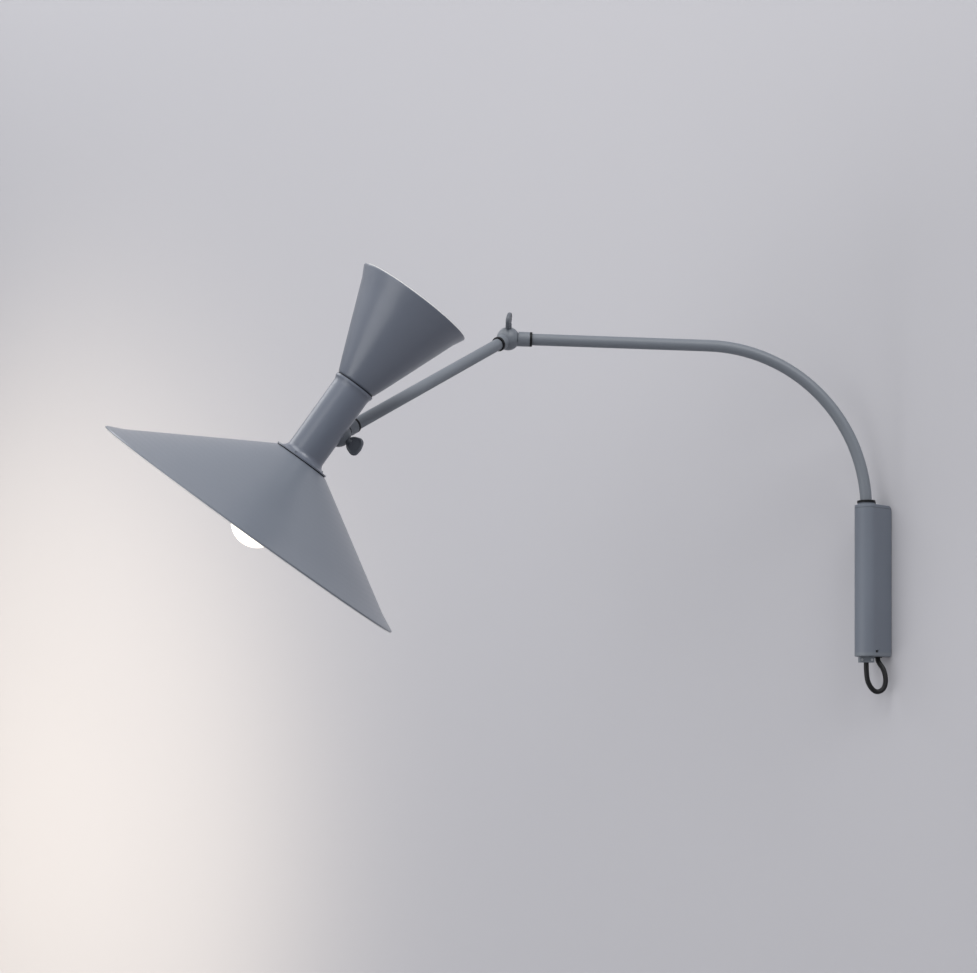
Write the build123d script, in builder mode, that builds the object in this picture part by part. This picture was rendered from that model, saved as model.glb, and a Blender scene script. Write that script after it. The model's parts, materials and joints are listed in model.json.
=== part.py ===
"""Articulating wall lamp: a swinging bent arm, two ball knuckles and a double-cone head.

Millimetres. The wall is the plane y = 0, the lamp stands out towards -Y and +Z is up.
The origin is the centre of the wall plate's back face. The joints rest at the angles
named below, and every frame of the arm and the head is worked out from them.
"""

import os
from math import cos, pi, radians, sin, tan

from build123d import *

os.makedirs("parts", exist_ok=True)

# ---- Clearances -------------------------------------------------------------------
RUN_FIT = 0.05  # radial, shafts that turn
SEAT_FIT = 0.1  # radial, pieces that are pressed or screwed in
LOOSE_FIT = 0.3  # round faces of different bodies

# ---- Resting pose, degrees --------------------------------------------------------
ARM_SWING = 42.0  # main arm from the wall's normal, towards -X
ARM_RISE = 2.0  # slope of the main arm's straight stretch
ELBOW_ROLL = -35.1  # elbow screw from upright, about the main arm
ELBOW_BEND = 56.5  # forearm from the main arm's line
HEAD_ROLL = -107.5  # head screw from the elbow screw, about the forearm
HEAD_BEND = -42.7  # neck stub from the forearm's line

# ---- Wall bracket -----------------------------------------------------------------
BRACKET_HEIGHT = 158.0
BRACKET_WIDTH = 24.0
PIVOT_DEPTH = 27.5  # pivot axis from the wall
HOUSING_WALL = 2.5
HOUSING_TOP_WALL = 4.0
HOUSING_BACK_FILLET = 5.0
HOUSING_EDGE_FILLET = 0.8
CAP_THICKNESS = 4.0
CAP_BACK_FILLET = 2.5
CAP_EDGE_FILLET = 1.2
BOSS_DIAMETER = 17.6
BOSS_HEIGHT = 2.0
BARREL_DIAMETER = 22.0
BARREL_LENGTH = 27.0
BARREL_END_GAP = 2.6  # room for the lower bush's flange above the bottom cap
PLATE_THICKNESS = 2.5
PLATE_SIDE_GAP = 0.25
PLATE_CORNER = 3.0
EAR_LENGTH = 11.0
EAR_THICKNESS = 3.0
WALL_HOLE_DIAMETER = 5.0
WALL_HOLE_PITCH = 100.0
CABLE_HOLE_DIAMETER = 10.0
CABLE_HOLE_HEIGHT = 18.0
BUSH_DIAMETER = 16.0
BUSH_LENGTH = 24.0
FLANGE_DIAMETER = 18.8
FLANGE_THICKNESS = 2.4
BUSH_TAB_REACH = 13.5
BUSH_TAB_WIDTH = 4.0
LOWER_TAB_REACH = 11.6
LOWER_TAB_TURN = 12.0  # degrees from +X towards the wall
TAB_THICKNESS = 2.4
COLLAR_DIAMETER = 18.0
COLLAR_HEIGHT = 7.0
THRUST_WASHER_THICKNESS = 1.0
GRUB_DIAMETER = 3.0
GRUB_LENGTH = 3.0
TERMINAL_WIDTH = 15.0
TERMINAL_DEPTH = 10.0
TERMINAL_HEIGHT = 22.0
TERMINAL_CENTRE = -8.0
POLE_COUNT = 3
POLE_PITCH = 7.0
POLE_BORE = 3.2
TERMINAL_SCREW_DIAMETER = 3.4
TERMINAL_SCREW_LENGTH = 3.0
TERMINAL_CORNER = 1.5
POST_END_RISE = 1.0  # the post stops this far above the bottom cap's face

# ---- Tubes, leads and knuckles ----------------------------------------------------
TUBE_DIAMETER = 12.0
TUBE_WALL = 1.5
ARM_REACH = 373.0  # pivot axis to the elbow's centre, level
BEND_RADIUS = 170.0
BEND_START = 75.0  # height where the post ends and the bend begins
FOREARM_LENGTH = 284.0  # ball centre to ball centre
LEAD_DIAMETER = 5.2
LEAD_BORE = 5.8
BALL_DIAMETER = 24.0
BALL_COLLAR = 15.0
BALL_FLAT = 0.6  # depth of the flat under the wing screw's shoulder
SPLIT_GAP = 0.3
MOAT_GAP = 0.9  # between a ball and the collar that is cut back round it
LONG_COLLAR = 22.6  # ball centre to the end of the arm-side collar
SHORT_COLLAR = 16.4  # ball centre to the end of the forearm-side collar
COLLAR_EDGE = 0.5
SWIVEL_WASHER = 2.4
FRICTION_DIAMETER = 20.0
FRICTION_BORE = 15.0
FRICTION_THICKNESS = 1.2
CAVITY_DIAMETER = 13.0
CAVITY_DEPTH = 4.5
NIPPLE_DIAMETER = 8.0
NIPPLE_TIP = BALL_DIAMETER / 2 + 2 * LOOSE_FIT  # just outside the balls' travel
NIPPLE_IN_TUBE = 14.0
GROOVE_WIDTH = 2.4
GROOVE_DEPTH = 0.5
GROOVE_FROM_END = 3.0
KNUCKLE_GRUB_LENGTH = 2.9

# ---- Wing screws ------------------------------------------------------------------
SCREW_DIAMETER = 5.0
SCREW_THREAD_DEPTH = 9.5  # below the ball's centre
WING_ROOT = 13.2  # ball centre to the foot of the wings
WING_TIP = 27.6
WING_WIDTH = 17.0
WING_THICKNESS = 4.0
WING_ROOT_WIDTH = 6.4
WING_EAR_RADIUS = 5.0
WING_EAR_DROP = 5.4  # the ears' centres below the tip
WING_CROWN_RADIUS = 7.6
WING_EDGE = 1.2
ELBOW_WING_TURN = 81.0  # degrees
HEAD_WING_TURN = 60.0

# ---- Cord loop and clamp ----------------------------------------------------------
CORD_DIAMETER = 5.2
CORD_BORE = 5.6
CLAMP_WIDTH = 15.6
CLAMP_DEPTH = 9.0
CLAMP_HEIGHT = 5.6
CLAMP_GAP = 0.6
CLAMP_DROP = 0.5  # below the bottom cap
SPIGOT_LENGTH = 6.0
CLAMP_SCREW_SPREAD = 10.2
CLAMP_SCREW_DIAMETER = 2.5
CLAMP_SCREW_HEAD = 4.4
CLAMP_HEAD_HEIGHT = 1.4
CLAMP_CORNER = 1.2
CORD_HOLE = (2.0, -10.5)
CAP_SCREW_PLACE = (-6.0, -9.0)
CAP_SCREW_DIAMETER = 3.0
CAP_SCREW_HEAD = 5.4
CAP_SCREW_END = 2.0  # its point above the plate's ear
GROMMET_DIAMETER = 9.0
GROMMET_NECK = 7.4
GROMMET_LIP = 0.8
ROUTE_ROUNDING = 0.45  # of the shorter run beside each corner of the cord

# ---- Head -------------------------------------------------------------------------
NECK_OFFSET = 34.0  # knuckle centre to the neck's axis
NECK_DIAMETER = 37.0
NECK_WALL = 2.0
NECK_HEIGHT = 84.3
KNUCKLE_HEIGHT = 40.6  # above the neck's bottom face
NECK_FOOT_DIAMETER = 54.0
NECK_FOOT_HEIGHT = 8.3
NECK_FOOT_RIM = 1.2
NECK_TOP_DIAMETER = 40.0
NECK_TOP_HEIGHT = 7.4
NECK_TOP_RIM = 2.0
NECK_END_PLATE = 3.0
SEAL_THICKNESS = 0.9
SEAL_SETBACK = 0.6
SHADE_DIAMETER = 320.0
SHADE_TOP_DIAMETER = 54.4
SHADE_HEIGHT = 80.6
SHADE_WALL = 1.2
SHADE_BEAD = 1.1
CONE_BASE_DIAMETER = 39.2
CONE_RIM_DIAMETER = 112.4
CONE_HEIGHT = 94.0
SOCKET_GAP = 1.0
BRIDGE_HEIGHT = 14.0
BRIDGE_GAP = 1.7  # below the upper lampholder
LOWER_SOCKET_DIAMETER = 30.0
LOWER_SOCKET_MOUTH = -14.0
LOWER_SOCKET_TOP = 28.0
LOWER_CAP_DIAMETER = 26.0
UPPER_SOCKET_DIAMETER = 23.0
UPPER_SOCKET_BOTTOM = KNUCKLE_HEIGHT + BRIDGE_HEIGHT / 2 + BRIDGE_GAP
UPPER_SOCKET_MOUTH = NECK_HEIGHT + 6.0
UPPER_CAP_DIAMETER = 14.0
SOCKET_FIT = 0.4  # radial, bulb caps in their sockets
SOCKET_FLOOR = 4.0
ROD_DIAMETER = 10.0
ROD_BORE = 6.0
LOWER_BULB_DIAMETER = 55.0
LOWER_BULB_TIP = -90.4
LOWER_BULB_NECK = 28.0
UPPER_BULB_DIAMETER = 45.0
UPPER_BULB_RISE = 60.0  # its tip above the neck
UPPER_BULB_TIP = NECK_HEIGHT + UPPER_BULB_RISE
UPPER_BULB_NECK = 18.0
BULB_CROWN_TURN = 115.0  # degrees of round crown from the tip
BULB_BUTTON_HEIGHT = 3.0
BULB_BUTTON_SHARE = 0.42  # of the cap's radius
BULB_THREAD_TURNS = 4
BULB_THREAD_DEPTH = 0.7
SOCKET_ENTRY = 24.0  # bulb cap into its socket
END_SCREW_DIAMETER = 3.0
END_SCREW_HEAD = 5.0
END_SCREW_HEAD_HEIGHT = 1.8
END_SCREW_COUNT = 3
END_SCREW_START = 60.0  # degrees
FOOT_SCREW_RADIUS = 21.2
TOP_SCREW_RADIUS = 15.4

# ---- Screw heads ------------------------------------------------------------------
COUNTERSINK = 45.0  # degrees
DRIVE_LENGTH = 0.55  # of the head's diameter
DRIVE_WIDTH = 0.14
DRIVE_DEPTH = 0.5  # of the head's height

# ---- Derived heights of the bracket -----------------------------------------------
HALF_HEIGHT = BRACKET_HEIGHT / 2
HOUSING_BOTTOM = CAP_THICKNESS - HALF_HEIGHT
BARREL_BOTTOM = HOUSING_BOTTOM + BARREL_END_GAP
BARREL_TOP = BARREL_BOTTOM + BARREL_LENGTH
INNER_WIDTH = BRACKET_WIDTH - 2 * HOUSING_WALL
INNER_TOP = HALF_HEIGHT - HOUSING_TOP_WALL
BUSH_BORE = TUBE_DIAMETER + 2 * RUN_FIT
BARREL_BORE = BUSH_DIAMETER + 2 * SEAT_FIT
TUBE_BORE = TUBE_DIAMETER - 2 * TUBE_WALL
POST_BOTTOM = -HALF_HEIGHT + POST_END_RISE
PIVOT = Vector(0, -PIVOT_DEPTH, 0)

# ---- Frames -----------------------------------------------------------------------
UP = Vector(0, 0, 1)
SWING = radians(ARM_SWING)
OUTWARD = Vector(-sin(SWING), -cos(SWING), 0)
ARM_PLANE = Plane(origin=PIVOT, x_dir=OUTWARD, z_dir=OUTWARD.cross(UP))  # x out, y up
ARM_DIR = OUTWARD * cos(radians(ARM_RISE)) + UP * sin(radians(ARM_RISE))
BEND_TURN = 90 - ARM_RISE
BEND_OUT = BEND_RADIUS * (1 - cos(radians(BEND_TURN)))
BEND_UP = BEND_START + BEND_RADIUS * sin(radians(BEND_TURN))
ELBOW_HEIGHT = BEND_UP + (ARM_REACH - BEND_OUT) * tan(radians(ARM_RISE))
ELBOW = PIVOT + OUTWARD * ARM_REACH + UP * ELBOW_HEIGHT
ARM_STRAIGHT = (ARM_REACH - BEND_OUT) / cos(radians(ARM_RISE)) - LONG_COLLAR - SWIVEL_WASHER


def turned(vector, about, angle):
    """A direction turned about another one through the origin."""
    return vector.rotate(Axis((0, 0, 0), about), angle)


ARM_NORMAL = ARM_DIR.cross(UP).cross(ARM_DIR).normalized()
ELBOW_AXIS = turned(ARM_NORMAL, ARM_DIR, ELBOW_ROLL)
FOREARM_DIR = turned(ARM_DIR, ELBOW_AXIS, ELBOW_BEND)
WRIST = ELBOW + FOREARM_DIR * FOREARM_LENGTH
WRIST_AXIS = turned(ELBOW_AXIS, FOREARM_DIR, HEAD_ROLL)
STUB_DIR = turned(FOREARM_DIR, WRIST_AXIS, HEAD_BEND)
HEAD_UP = turned(STUB_DIR, WRIST_AXIS, -90)
NECK_FOOT = WRIST + STUB_DIR * NECK_OFFSET - HEAD_UP * KNUCKLE_HEIGHT

ELBOW_ARM_HALF = Plane(origin=ELBOW, x_dir=ARM_DIR * -1, z_dir=ELBOW_AXIS)
ELBOW_FORE_HALF = Plane(origin=ELBOW, x_dir=FOREARM_DIR, z_dir=ELBOW_AXIS * -1)
WRIST_ARM_HALF = Plane(origin=WRIST, x_dir=FOREARM_DIR * -1, z_dir=WRIST_AXIS)
WRIST_HEAD_HALF = Plane(origin=WRIST, x_dir=STUB_DIR, z_dir=WRIST_AXIS * -1)
ARM_END = Plane(origin=ELBOW, x_dir=ELBOW_AXIS, z_dir=ARM_DIR * -1)
FOREARM_START = Plane(origin=ELBOW, x_dir=ELBOW_AXIS, z_dir=FOREARM_DIR)
FOREARM_END = Plane(origin=WRIST, x_dir=WRIST_AXIS, z_dir=FOREARM_DIR * -1)
STUB = Plane(origin=WRIST, x_dir=WRIST_AXIS, z_dir=STUB_DIR)
HEAD = Plane(origin=NECK_FOOT, x_dir=STUB_DIR * -1, z_dir=HEAD_UP)
HEAD_SECTION = Plane(origin=NECK_FOOT, x_dir=STUB_DIR * -1, z_dir=(STUB_DIR * -1).cross(HEAD_UP))
HEAD_AXIS = Axis(NECK_FOOT, HEAD_UP)


def save(piece, name):
    """Labels a finished piece and writes its STEP file."""
    piece.part.label = name
    export_step(piece.part, f"parts/{name}.step")


def ring(plane, near, far, outer, inner=0.0):
    """A washer, sleeve or disc between two distances along a plane's normal."""
    with BuildPart() as piece:
        with BuildSketch(plane.offset(near)):
            Circle(outer / 2)
            if inner:
                Circle(inner / 2, mode=Mode.SUBTRACT)
        extrude(amount=far - near)
    return piece


def d_profile(grow=0.0, back=0.0):
    """The bracket's outline seen from above: a half round in front, flat sides behind."""
    width = BRACKET_WIDTH + 2 * grow
    depth = PIVOT_DEPTH + back
    with Locations((0, (back - PIVOT_DEPTH) / 2)):
        Rectangle(width, depth)
    with Locations((0, -PIVOT_DEPTH)):
        Circle(width / 2)


# ---- Wall bracket -----------------------------------------------------------------
def make_wall_plate():
    width = INNER_WIDTH - 2 * PLATE_SIDE_GAP
    wall_face = Plane(origin=(0, 0, 0), x_dir=(1, 0, 0), z_dir=(0, -1, 0))
    height = INNER_TOP - HOUSING_BOTTOM - 2 * PLATE_SIDE_GAP
    middle = (INNER_TOP + HOUSING_BOTTOM) / 2
    top = middle + height / 2
    bottom = middle - height / 2
    ear_width = width / 2 + CAP_SCREW_PLACE[0] + CAP_SCREW_DIAMETER
    with BuildPart() as plate:
        with BuildSketch(wall_face):
            with Locations((0, middle)):
                RectangleRounded(width, height, PLATE_CORNER)
        extrude(amount=PLATE_THICKNESS)
        for spot, ear, wide in ((top - EAR_THICKNESS, 0.0, width - 2 * PLATE_CORNER),
                                (bottom, CAP_SCREW_PLACE[0], ear_width)):
            with BuildSketch(Plane.XY.offset(spot)):
                with Locations((ear, -(PLATE_THICKNESS + EAR_LENGTH) / 2)):
                    Rectangle(wide, PLATE_THICKNESS + EAR_LENGTH)
            extrude(amount=EAR_THICKNESS)
        with Locations(wall_face):
            with Locations((0, WALL_HOLE_PITCH / 2), (0, -WALL_HOLE_PITCH / 2)):
                Hole(WALL_HOLE_DIAMETER / 2)
            with Locations((0, CABLE_HOLE_HEIGHT)):
                Hole(CABLE_HOLE_DIAMETER / 2)
        with Locations((*CAP_SCREW_PLACE, bottom)):
            Cylinder(CAP_SCREW_DIAMETER / 2 + SEAT_FIT, 4 * EAR_THICKNESS, mode=Mode.SUBTRACT)
    return plate


def make_housing():
    pivot_at = Locations((0, -PIVOT_DEPTH))
    with BuildPart() as housing:
        with BuildSketch(Plane.XY.offset(HOUSING_BOTTOM)):
            d_profile()
        extrude(amount=HALF_HEIGHT - HOUSING_BOTTOM)
        top_face = housing.faces().sort_by(Axis.Z)[-1]
        back_edge = top_face.edges().sort_by(Axis.Y)[-1]
        fillet(back_edge, HOUSING_BACK_FILLET)
        front = housing.edges().filter_by(GeomType.CIRCLE).sort_by(Axis.Z)[-1]
        fillet(front, HOUSING_EDGE_FILLET)
        with BuildSketch(Plane.XY.offset(HOUSING_BOTTOM)):
            d_profile(grow=-HOUSING_WALL, back=HOUSING_WALL)
        extrude(amount=INNER_TOP - HOUSING_BOTTOM, mode=Mode.SUBTRACT)
        for low, high in ((BARREL_BOTTOM, BARREL_TOP), (INNER_TOP - BARREL_LENGTH, INNER_TOP)):
            with BuildSketch(Plane.XY.offset(low)):
                with pivot_at:
                    Circle(BARREL_DIAMETER / 2)
            extrude(amount=high - low)
        with BuildSketch(Plane.XY.offset(HALF_HEIGHT)):
            with pivot_at:
                Circle(BOSS_DIAMETER / 2)
        extrude(amount=BOSS_HEIGHT)
        with BuildSketch(Plane.XY.offset(HOUSING_BOTTOM)):
            with pivot_at:
                Circle(BARREL_BORE / 2)
        extrude(amount=2 * BRACKET_HEIGHT, mode=Mode.SUBTRACT)
        with BuildSketch(Plane.XY.offset(HOUSING_BOTTOM)):  # notch for the lower bush's tab
            with Locations(Location((0, -PIVOT_DEPTH), LOWER_TAB_TURN)):
                with Locations((BRACKET_WIDTH / 2, 0)):
                    Rectangle(3 * HOUSING_WALL, BUSH_TAB_WIDTH + 2 * LOOSE_FIT)
        extrude(amount=BARREL_END_GAP, mode=Mode.SUBTRACT)
    return housing


def make_bottom_cap():
    with BuildPart() as cap:
        with BuildSketch(Plane.XY.offset(-HALF_HEIGHT)):
            d_profile()
        extrude(amount=CAP_THICKNESS)
        bottom_face = cap.faces().sort_by(Axis.Z)[0]
        fillet(bottom_face.edges().sort_by(Axis.Y)[-1], CAP_BACK_FILLET)
        front = cap.edges().filter_by(GeomType.CIRCLE).sort_by(Axis.Z)[0]
        fillet(front, CAP_EDGE_FILLET)
        for place, bore in (((0, -PIVOT_DEPTH), TUBE_DIAMETER + 4 * LOOSE_FIT),
                            (CORD_HOLE, GROMMET_NECK),
                            (CAP_SCREW_PLACE, CAP_SCREW_DIAMETER + 2 * SEAT_FIT)):
            with BuildSketch(Plane.XY.offset(-HALF_HEIGHT)):
                with Locations(place):
                    Circle(bore / 2)
            extrude(amount=CAP_THICKNESS, mode=Mode.SUBTRACT)
        with BuildSketch(Plane.XY.offset(-HALF_HEIGHT)):  # seats the screw's countersunk head
            with Locations(CAP_SCREW_PLACE):
                Circle(CAP_SCREW_HEAD / 2 + SEAT_FIT)
        extrude(amount=(CAP_SCREW_HEAD - CAP_SCREW_DIAMETER) / 2, taper=COUNTERSINK,
                mode=Mode.SUBTRACT)
    return cap


def make_bush(bottom, flange_bottom, tab_reach, tab_turn, tab_drop):
    """A flanged bush: its body from bottom upwards, its flange and a locking tab."""
    with BuildPart() as bush:
        with BuildSketch(Plane.XY.offset(bottom)):
            with Locations((0, -PIVOT_DEPTH)):
                Circle(BUSH_DIAMETER / 2)
        extrude(amount=BUSH_LENGTH)
        with BuildSketch(Plane.XY.offset(flange_bottom)):
            with Locations((0, -PIVOT_DEPTH)):
                Circle(FLANGE_DIAMETER / 2)
            with Locations(Location((0, -PIVOT_DEPTH), tab_turn)):
                with Locations((tab_reach / 2, 0)):
                    Rectangle(tab_reach, BUSH_TAB_WIDTH)
        extrude(amount=FLANGE_THICKNESS)
        if tab_drop:
            with BuildSketch(Plane.XY.offset(flange_bottom - tab_drop)):
                with Locations(Location((0, -PIVOT_DEPTH), tab_turn)):
                    with Locations((tab_reach - TAB_THICKNESS / 2, 0)):
                        Rectangle(TAB_THICKNESS, BUSH_TAB_WIDTH)
            extrude(amount=tab_drop)
        with BuildSketch(Plane.XY.offset(-HALF_HEIGHT)):
            with Locations((0, -PIVOT_DEPTH)):
                Circle(BUSH_BORE / 2)
        extrude(amount=2 * BRACKET_HEIGHT, mode=Mode.SUBTRACT)
        with BuildSketch(Plane.XY.offset(BEND_START)):  # room for the start of the bend
            with Locations((0, -PIVOT_DEPTH)):
                Circle(BUSH_BORE / 2 + LOOSE_FIT)
        extrude(amount=BRACKET_HEIGHT, mode=Mode.SUBTRACT)
    return bush


def make_countersunk(plane, length, diameter, head):
    """A countersunk screw: its head's face lies on the plane, its shank along the normal."""
    cone = (head - diameter) / 2
    with BuildPart() as screw:
        with BuildSketch(plane):
            Circle(head / 2)
        extrude(amount=cone, taper=COUNTERSINK)
        with BuildSketch(plane):
            Circle(diameter / 2)
        extrude(amount=length)
        with BuildSketch(plane):
            SlotOverall(head * DRIVE_LENGTH, head * DRIVE_WIDTH)
            SlotOverall(head * DRIVE_LENGTH, head * DRIVE_WIDTH, rotation=90)
        extrude(amount=cone * DRIVE_DEPTH, mode=Mode.SUBTRACT)
    return screw


def pole_heights():
    first = TERMINAL_CENTRE - POLE_PITCH * (POLE_COUNT - 1) / 2
    return [first + POLE_PITCH * n for n in range(POLE_COUNT)]


def make_terminal_block():
    front = -PLATE_THICKNESS - TERMINAL_DEPTH
    with BuildPart() as block:
        with BuildSketch(Plane.XY.offset(TERMINAL_CENTRE - TERMINAL_HEIGHT / 2)):
            with Locations((0, (front - PLATE_THICKNESS) / 2)):
                RectangleRounded(TERMINAL_WIDTH, TERMINAL_DEPTH, TERMINAL_CORNER)
        extrude(amount=TERMINAL_HEIGHT)
        for height in pole_heights():
            with BuildSketch(Plane.YZ.offset(-TERMINAL_WIDTH)):
                with Locations(((front - PLATE_THICKNESS) / 2, height)):
                    Circle(POLE_BORE / 2)
            extrude(amount=2 * TERMINAL_WIDTH, mode=Mode.SUBTRACT)
            with BuildSketch(Plane.XZ.offset(-front)):
                with Locations((0, height)):
                    Circle(TERMINAL_SCREW_DIAMETER / 2 + SEAT_FIT)
            extrude(amount=-TERMINAL_SCREW_LENGTH, mode=Mode.SUBTRACT)
    return block


def make_terminal_screws():
    front = -PLATE_THICKNESS - TERMINAL_DEPTH
    with BuildPart() as screws:
        for height in pole_heights():
            with BuildSketch(Plane.XZ.offset(-front)):
                with Locations((0, height)):
                    Circle(TERMINAL_SCREW_DIAMETER / 2)
            extrude(amount=-TERMINAL_SCREW_LENGTH)
            with BuildSketch(Plane.XZ.offset(-front)):
                with Locations((0, height)):
                    Rectangle(2 * TERMINAL_SCREW_DIAMETER, TERMINAL_SCREW_DIAMETER * DRIVE_WIDTH)
            extrude(amount=-TERMINAL_SCREW_LENGTH * DRIVE_DEPTH, mode=Mode.SUBTRACT)
    return screws


def make_grommet():
    """A rubber grommet in the bottom cap, with a lip under it and one above it."""
    low = Plane(origin=(*CORD_HOLE, -HALF_HEIGHT), z_dir=(0, 0, 1))
    with BuildPart() as grommet:
        with BuildSketch(low.offset(-GROMMET_LIP)):
            Circle(GROMMET_DIAMETER / 2)
        extrude(amount=GROMMET_LIP)
        with BuildSketch(low):
            Circle(GROMMET_NECK / 2)
        extrude(amount=CAP_THICKNESS)
        with BuildSketch(low.offset(CAP_THICKNESS)):
            Circle(GROMMET_DIAMETER / 2)
        extrude(amount=GROMMET_LIP)
        with BuildSketch(low.offset(-GROMMET_LIP)):
            Circle(CORD_BORE / 2)
        extrude(amount=CAP_THICKNESS + 2 * GROMMET_LIP, mode=Mode.SUBTRACT)
    return grommet


# ---- Cord loop under the bracket --------------------------------------------------
CLAMP_TOP = -HALF_HEIGHT - CLAMP_DROP
CLAMP_BOTTOM = CLAMP_TOP - CLAMP_HEIGHT
GROMMET_BOTTOM = -HALF_HEIGHT - GROMMET_LIP
LOOP_POINTS = [
    (0.0, -PIVOT_DEPTH, CLAMP_BOTTOM),
    (0.0, -PIVOT_DEPTH, -96.5),
    (1.8, -24.8, -109.0),
    (5.6, -18.0, -117.5),
    (10.8, -11.6, -113.0),
    (11.4, -9.0, -102.0),
    (7.4, -9.2, -92.5),
    (*CORD_HOLE, -86.0),
    (*CORD_HOLE, GROMMET_BOTTOM),
]


def corner_radii(points):
    """For each corner, a share of its shorter run over the tangent of half its turn."""
    places = [Vector(*p) for p in points]
    radii = []
    for before, corner, after in zip(places, places[1:], places[2:]):
        first, second = corner - before, after - corner
        shorter = min(first.length, second.length)
        radii.append(ROUTE_ROUNDING * shorter / tan(radians(first.get_angle(second)) / 2))
    return radii


def make_cord(points):
    radii = corner_radii(points)
    with BuildPart() as cord:
        with BuildLine() as route:
            FilletPolyline(*points, radius=radii)
        wire = route.wires()[0]
        with BuildSketch(Plane(origin=wire @ 0, z_dir=wire % 0)):
            Circle(CORD_DIAMETER / 2)
        sweep(path=wire)
    return cord, wire, radii


def straight_lead(start, end):
    """A straight stretch of lead between two points."""
    run = Vector(*end) - Vector(*start)
    return ring(Plane(origin=start, z_dir=run), 0, run.length, LEAD_DIAMETER)


# ---- Main arm ---------------------------------------------------------------------
def arm_path(bottom, extra):
    """The tube's centre line in the arm's own plane: post, bend and straight stretch."""
    with BuildLine(ARM_PLANE) as path:
        post = Line((0, bottom), (0, BEND_START))
        bend = JernArc(post @ 1, (0, 1), BEND_RADIUS, -BEND_TURN)
        run = ARM_STRAIGHT + extra
        Line(bend @ 1, bend @ 1 + ARM_DIR * run)
    return path.wires()[0]


def sweep_round(wire, outer, inner=0.0):
    with BuildPart() as piece:
        with BuildSketch(Plane(origin=wire @ 0, z_dir=wire % 0)):
            Circle(outer / 2)
            if inner:
                Circle(inner / 2, mode=Mode.SUBTRACT)
        sweep(path=wire)
    return piece


def make_nipple(plane, shoulder, groove):
    """A hollow nipple from its tip in a knuckle's collar to its end inside a tube."""
    tip = NIPPLE_TIP
    end = shoulder + SWIVEL_WASHER + NIPPLE_IN_TUBE
    with BuildPart() as nipple:
        with BuildSketch(plane.offset(tip)):
            Circle(NIPPLE_DIAMETER / 2)
        extrude(amount=end - tip)
        with BuildSketch(plane.offset(shoulder + SWIVEL_WASHER)):
            Circle(TUBE_BORE / 2)
        extrude(amount=NIPPLE_IN_TUBE)
        if groove:
            with BuildSketch(plane.offset(tip + GROOVE_FROM_END)):
                Circle(NIPPLE_DIAMETER / 2)
                Circle(NIPPLE_DIAMETER / 2 - GROOVE_DEPTH, mode=Mode.SUBTRACT)
            extrude(amount=GROOVE_WIDTH, mode=Mode.SUBTRACT)
        with BuildSketch(plane.offset(tip)):
            Circle(LEAD_BORE / 2)
        extrude(amount=end - tip, mode=Mode.SUBTRACT)
    return nipple


def make_clamp(front):
    """Half of the cord clamp under the post; the back half carries the post's spigot."""
    frame = Plane(origin=PIVOT + UP * CLAMP_BOTTOM, x_dir=OUTWARD, z_dir=UP)
    side = -1 if front else 1  # the front half faces away from the wall
    depth = (CLAMP_DEPTH - CLAMP_GAP) / 2
    with BuildPart() as half:
        with BuildSketch(frame):
            with Locations((0, side * (CLAMP_GAP + depth) / 2)):
                Rectangle(CLAMP_WIDTH, depth)
        extrude(amount=CLAMP_HEIGHT)
        fillet(half.edges().filter_by(Axis.Z), CLAMP_CORNER)
        if not front:
            with BuildSketch(frame.offset(CLAMP_HEIGHT)):
                Circle(TUBE_BORE / 2 - SEAT_FIT)
            extrude(amount=POST_BOTTOM + SPIGOT_LENGTH - CLAMP_TOP)
        with BuildSketch(frame):
            Circle(CORD_BORE / 2)
        extrude(amount=2 * BRACKET_WIDTH, mode=Mode.SUBTRACT)
        for x in (-CLAMP_SCREW_SPREAD / 2, CLAMP_SCREW_SPREAD / 2):
            with Locations(clamp_screw_plane(x)):
                Cylinder(CLAMP_SCREW_DIAMETER / 2 + SEAT_FIT, 3 * CLAMP_DEPTH, mode=Mode.SUBTRACT)
    return half


def clamp_screw_plane(x):
    """On the clamp's front face, with its normal along the screw towards the room."""
    normal = OUTWARD.cross(UP)
    middle = PIVOT + UP * (CLAMP_BOTTOM + CLAMP_HEIGHT / 2)
    return Plane(origin=middle + OUTWARD * x + normal * (CLAMP_DEPTH / 2), z_dir=normal)


def make_clamp_screws():
    with BuildPart() as screws:
        for x in (-CLAMP_SCREW_SPREAD / 2, CLAMP_SCREW_SPREAD / 2):
            face = clamp_screw_plane(x)
            with BuildSketch(face):
                Circle(CLAMP_SCREW_HEAD / 2)
            extrude(amount=CLAMP_HEAD_HEIGHT)
            with BuildSketch(face.offset(-CLAMP_DEPTH)):
                Circle(CLAMP_SCREW_DIAMETER / 2)
            extrude(amount=CLAMP_DEPTH)
            with BuildSketch(face.offset(CLAMP_HEAD_HEIGHT)):
                Rectangle(2 * CLAMP_SCREW_HEAD, CLAMP_SCREW_HEAD * DRIVE_WIDTH)
            extrude(amount=-CLAMP_HEAD_HEIGHT * DRIVE_DEPTH, mode=Mode.SUBTRACT)
    return screws


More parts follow.
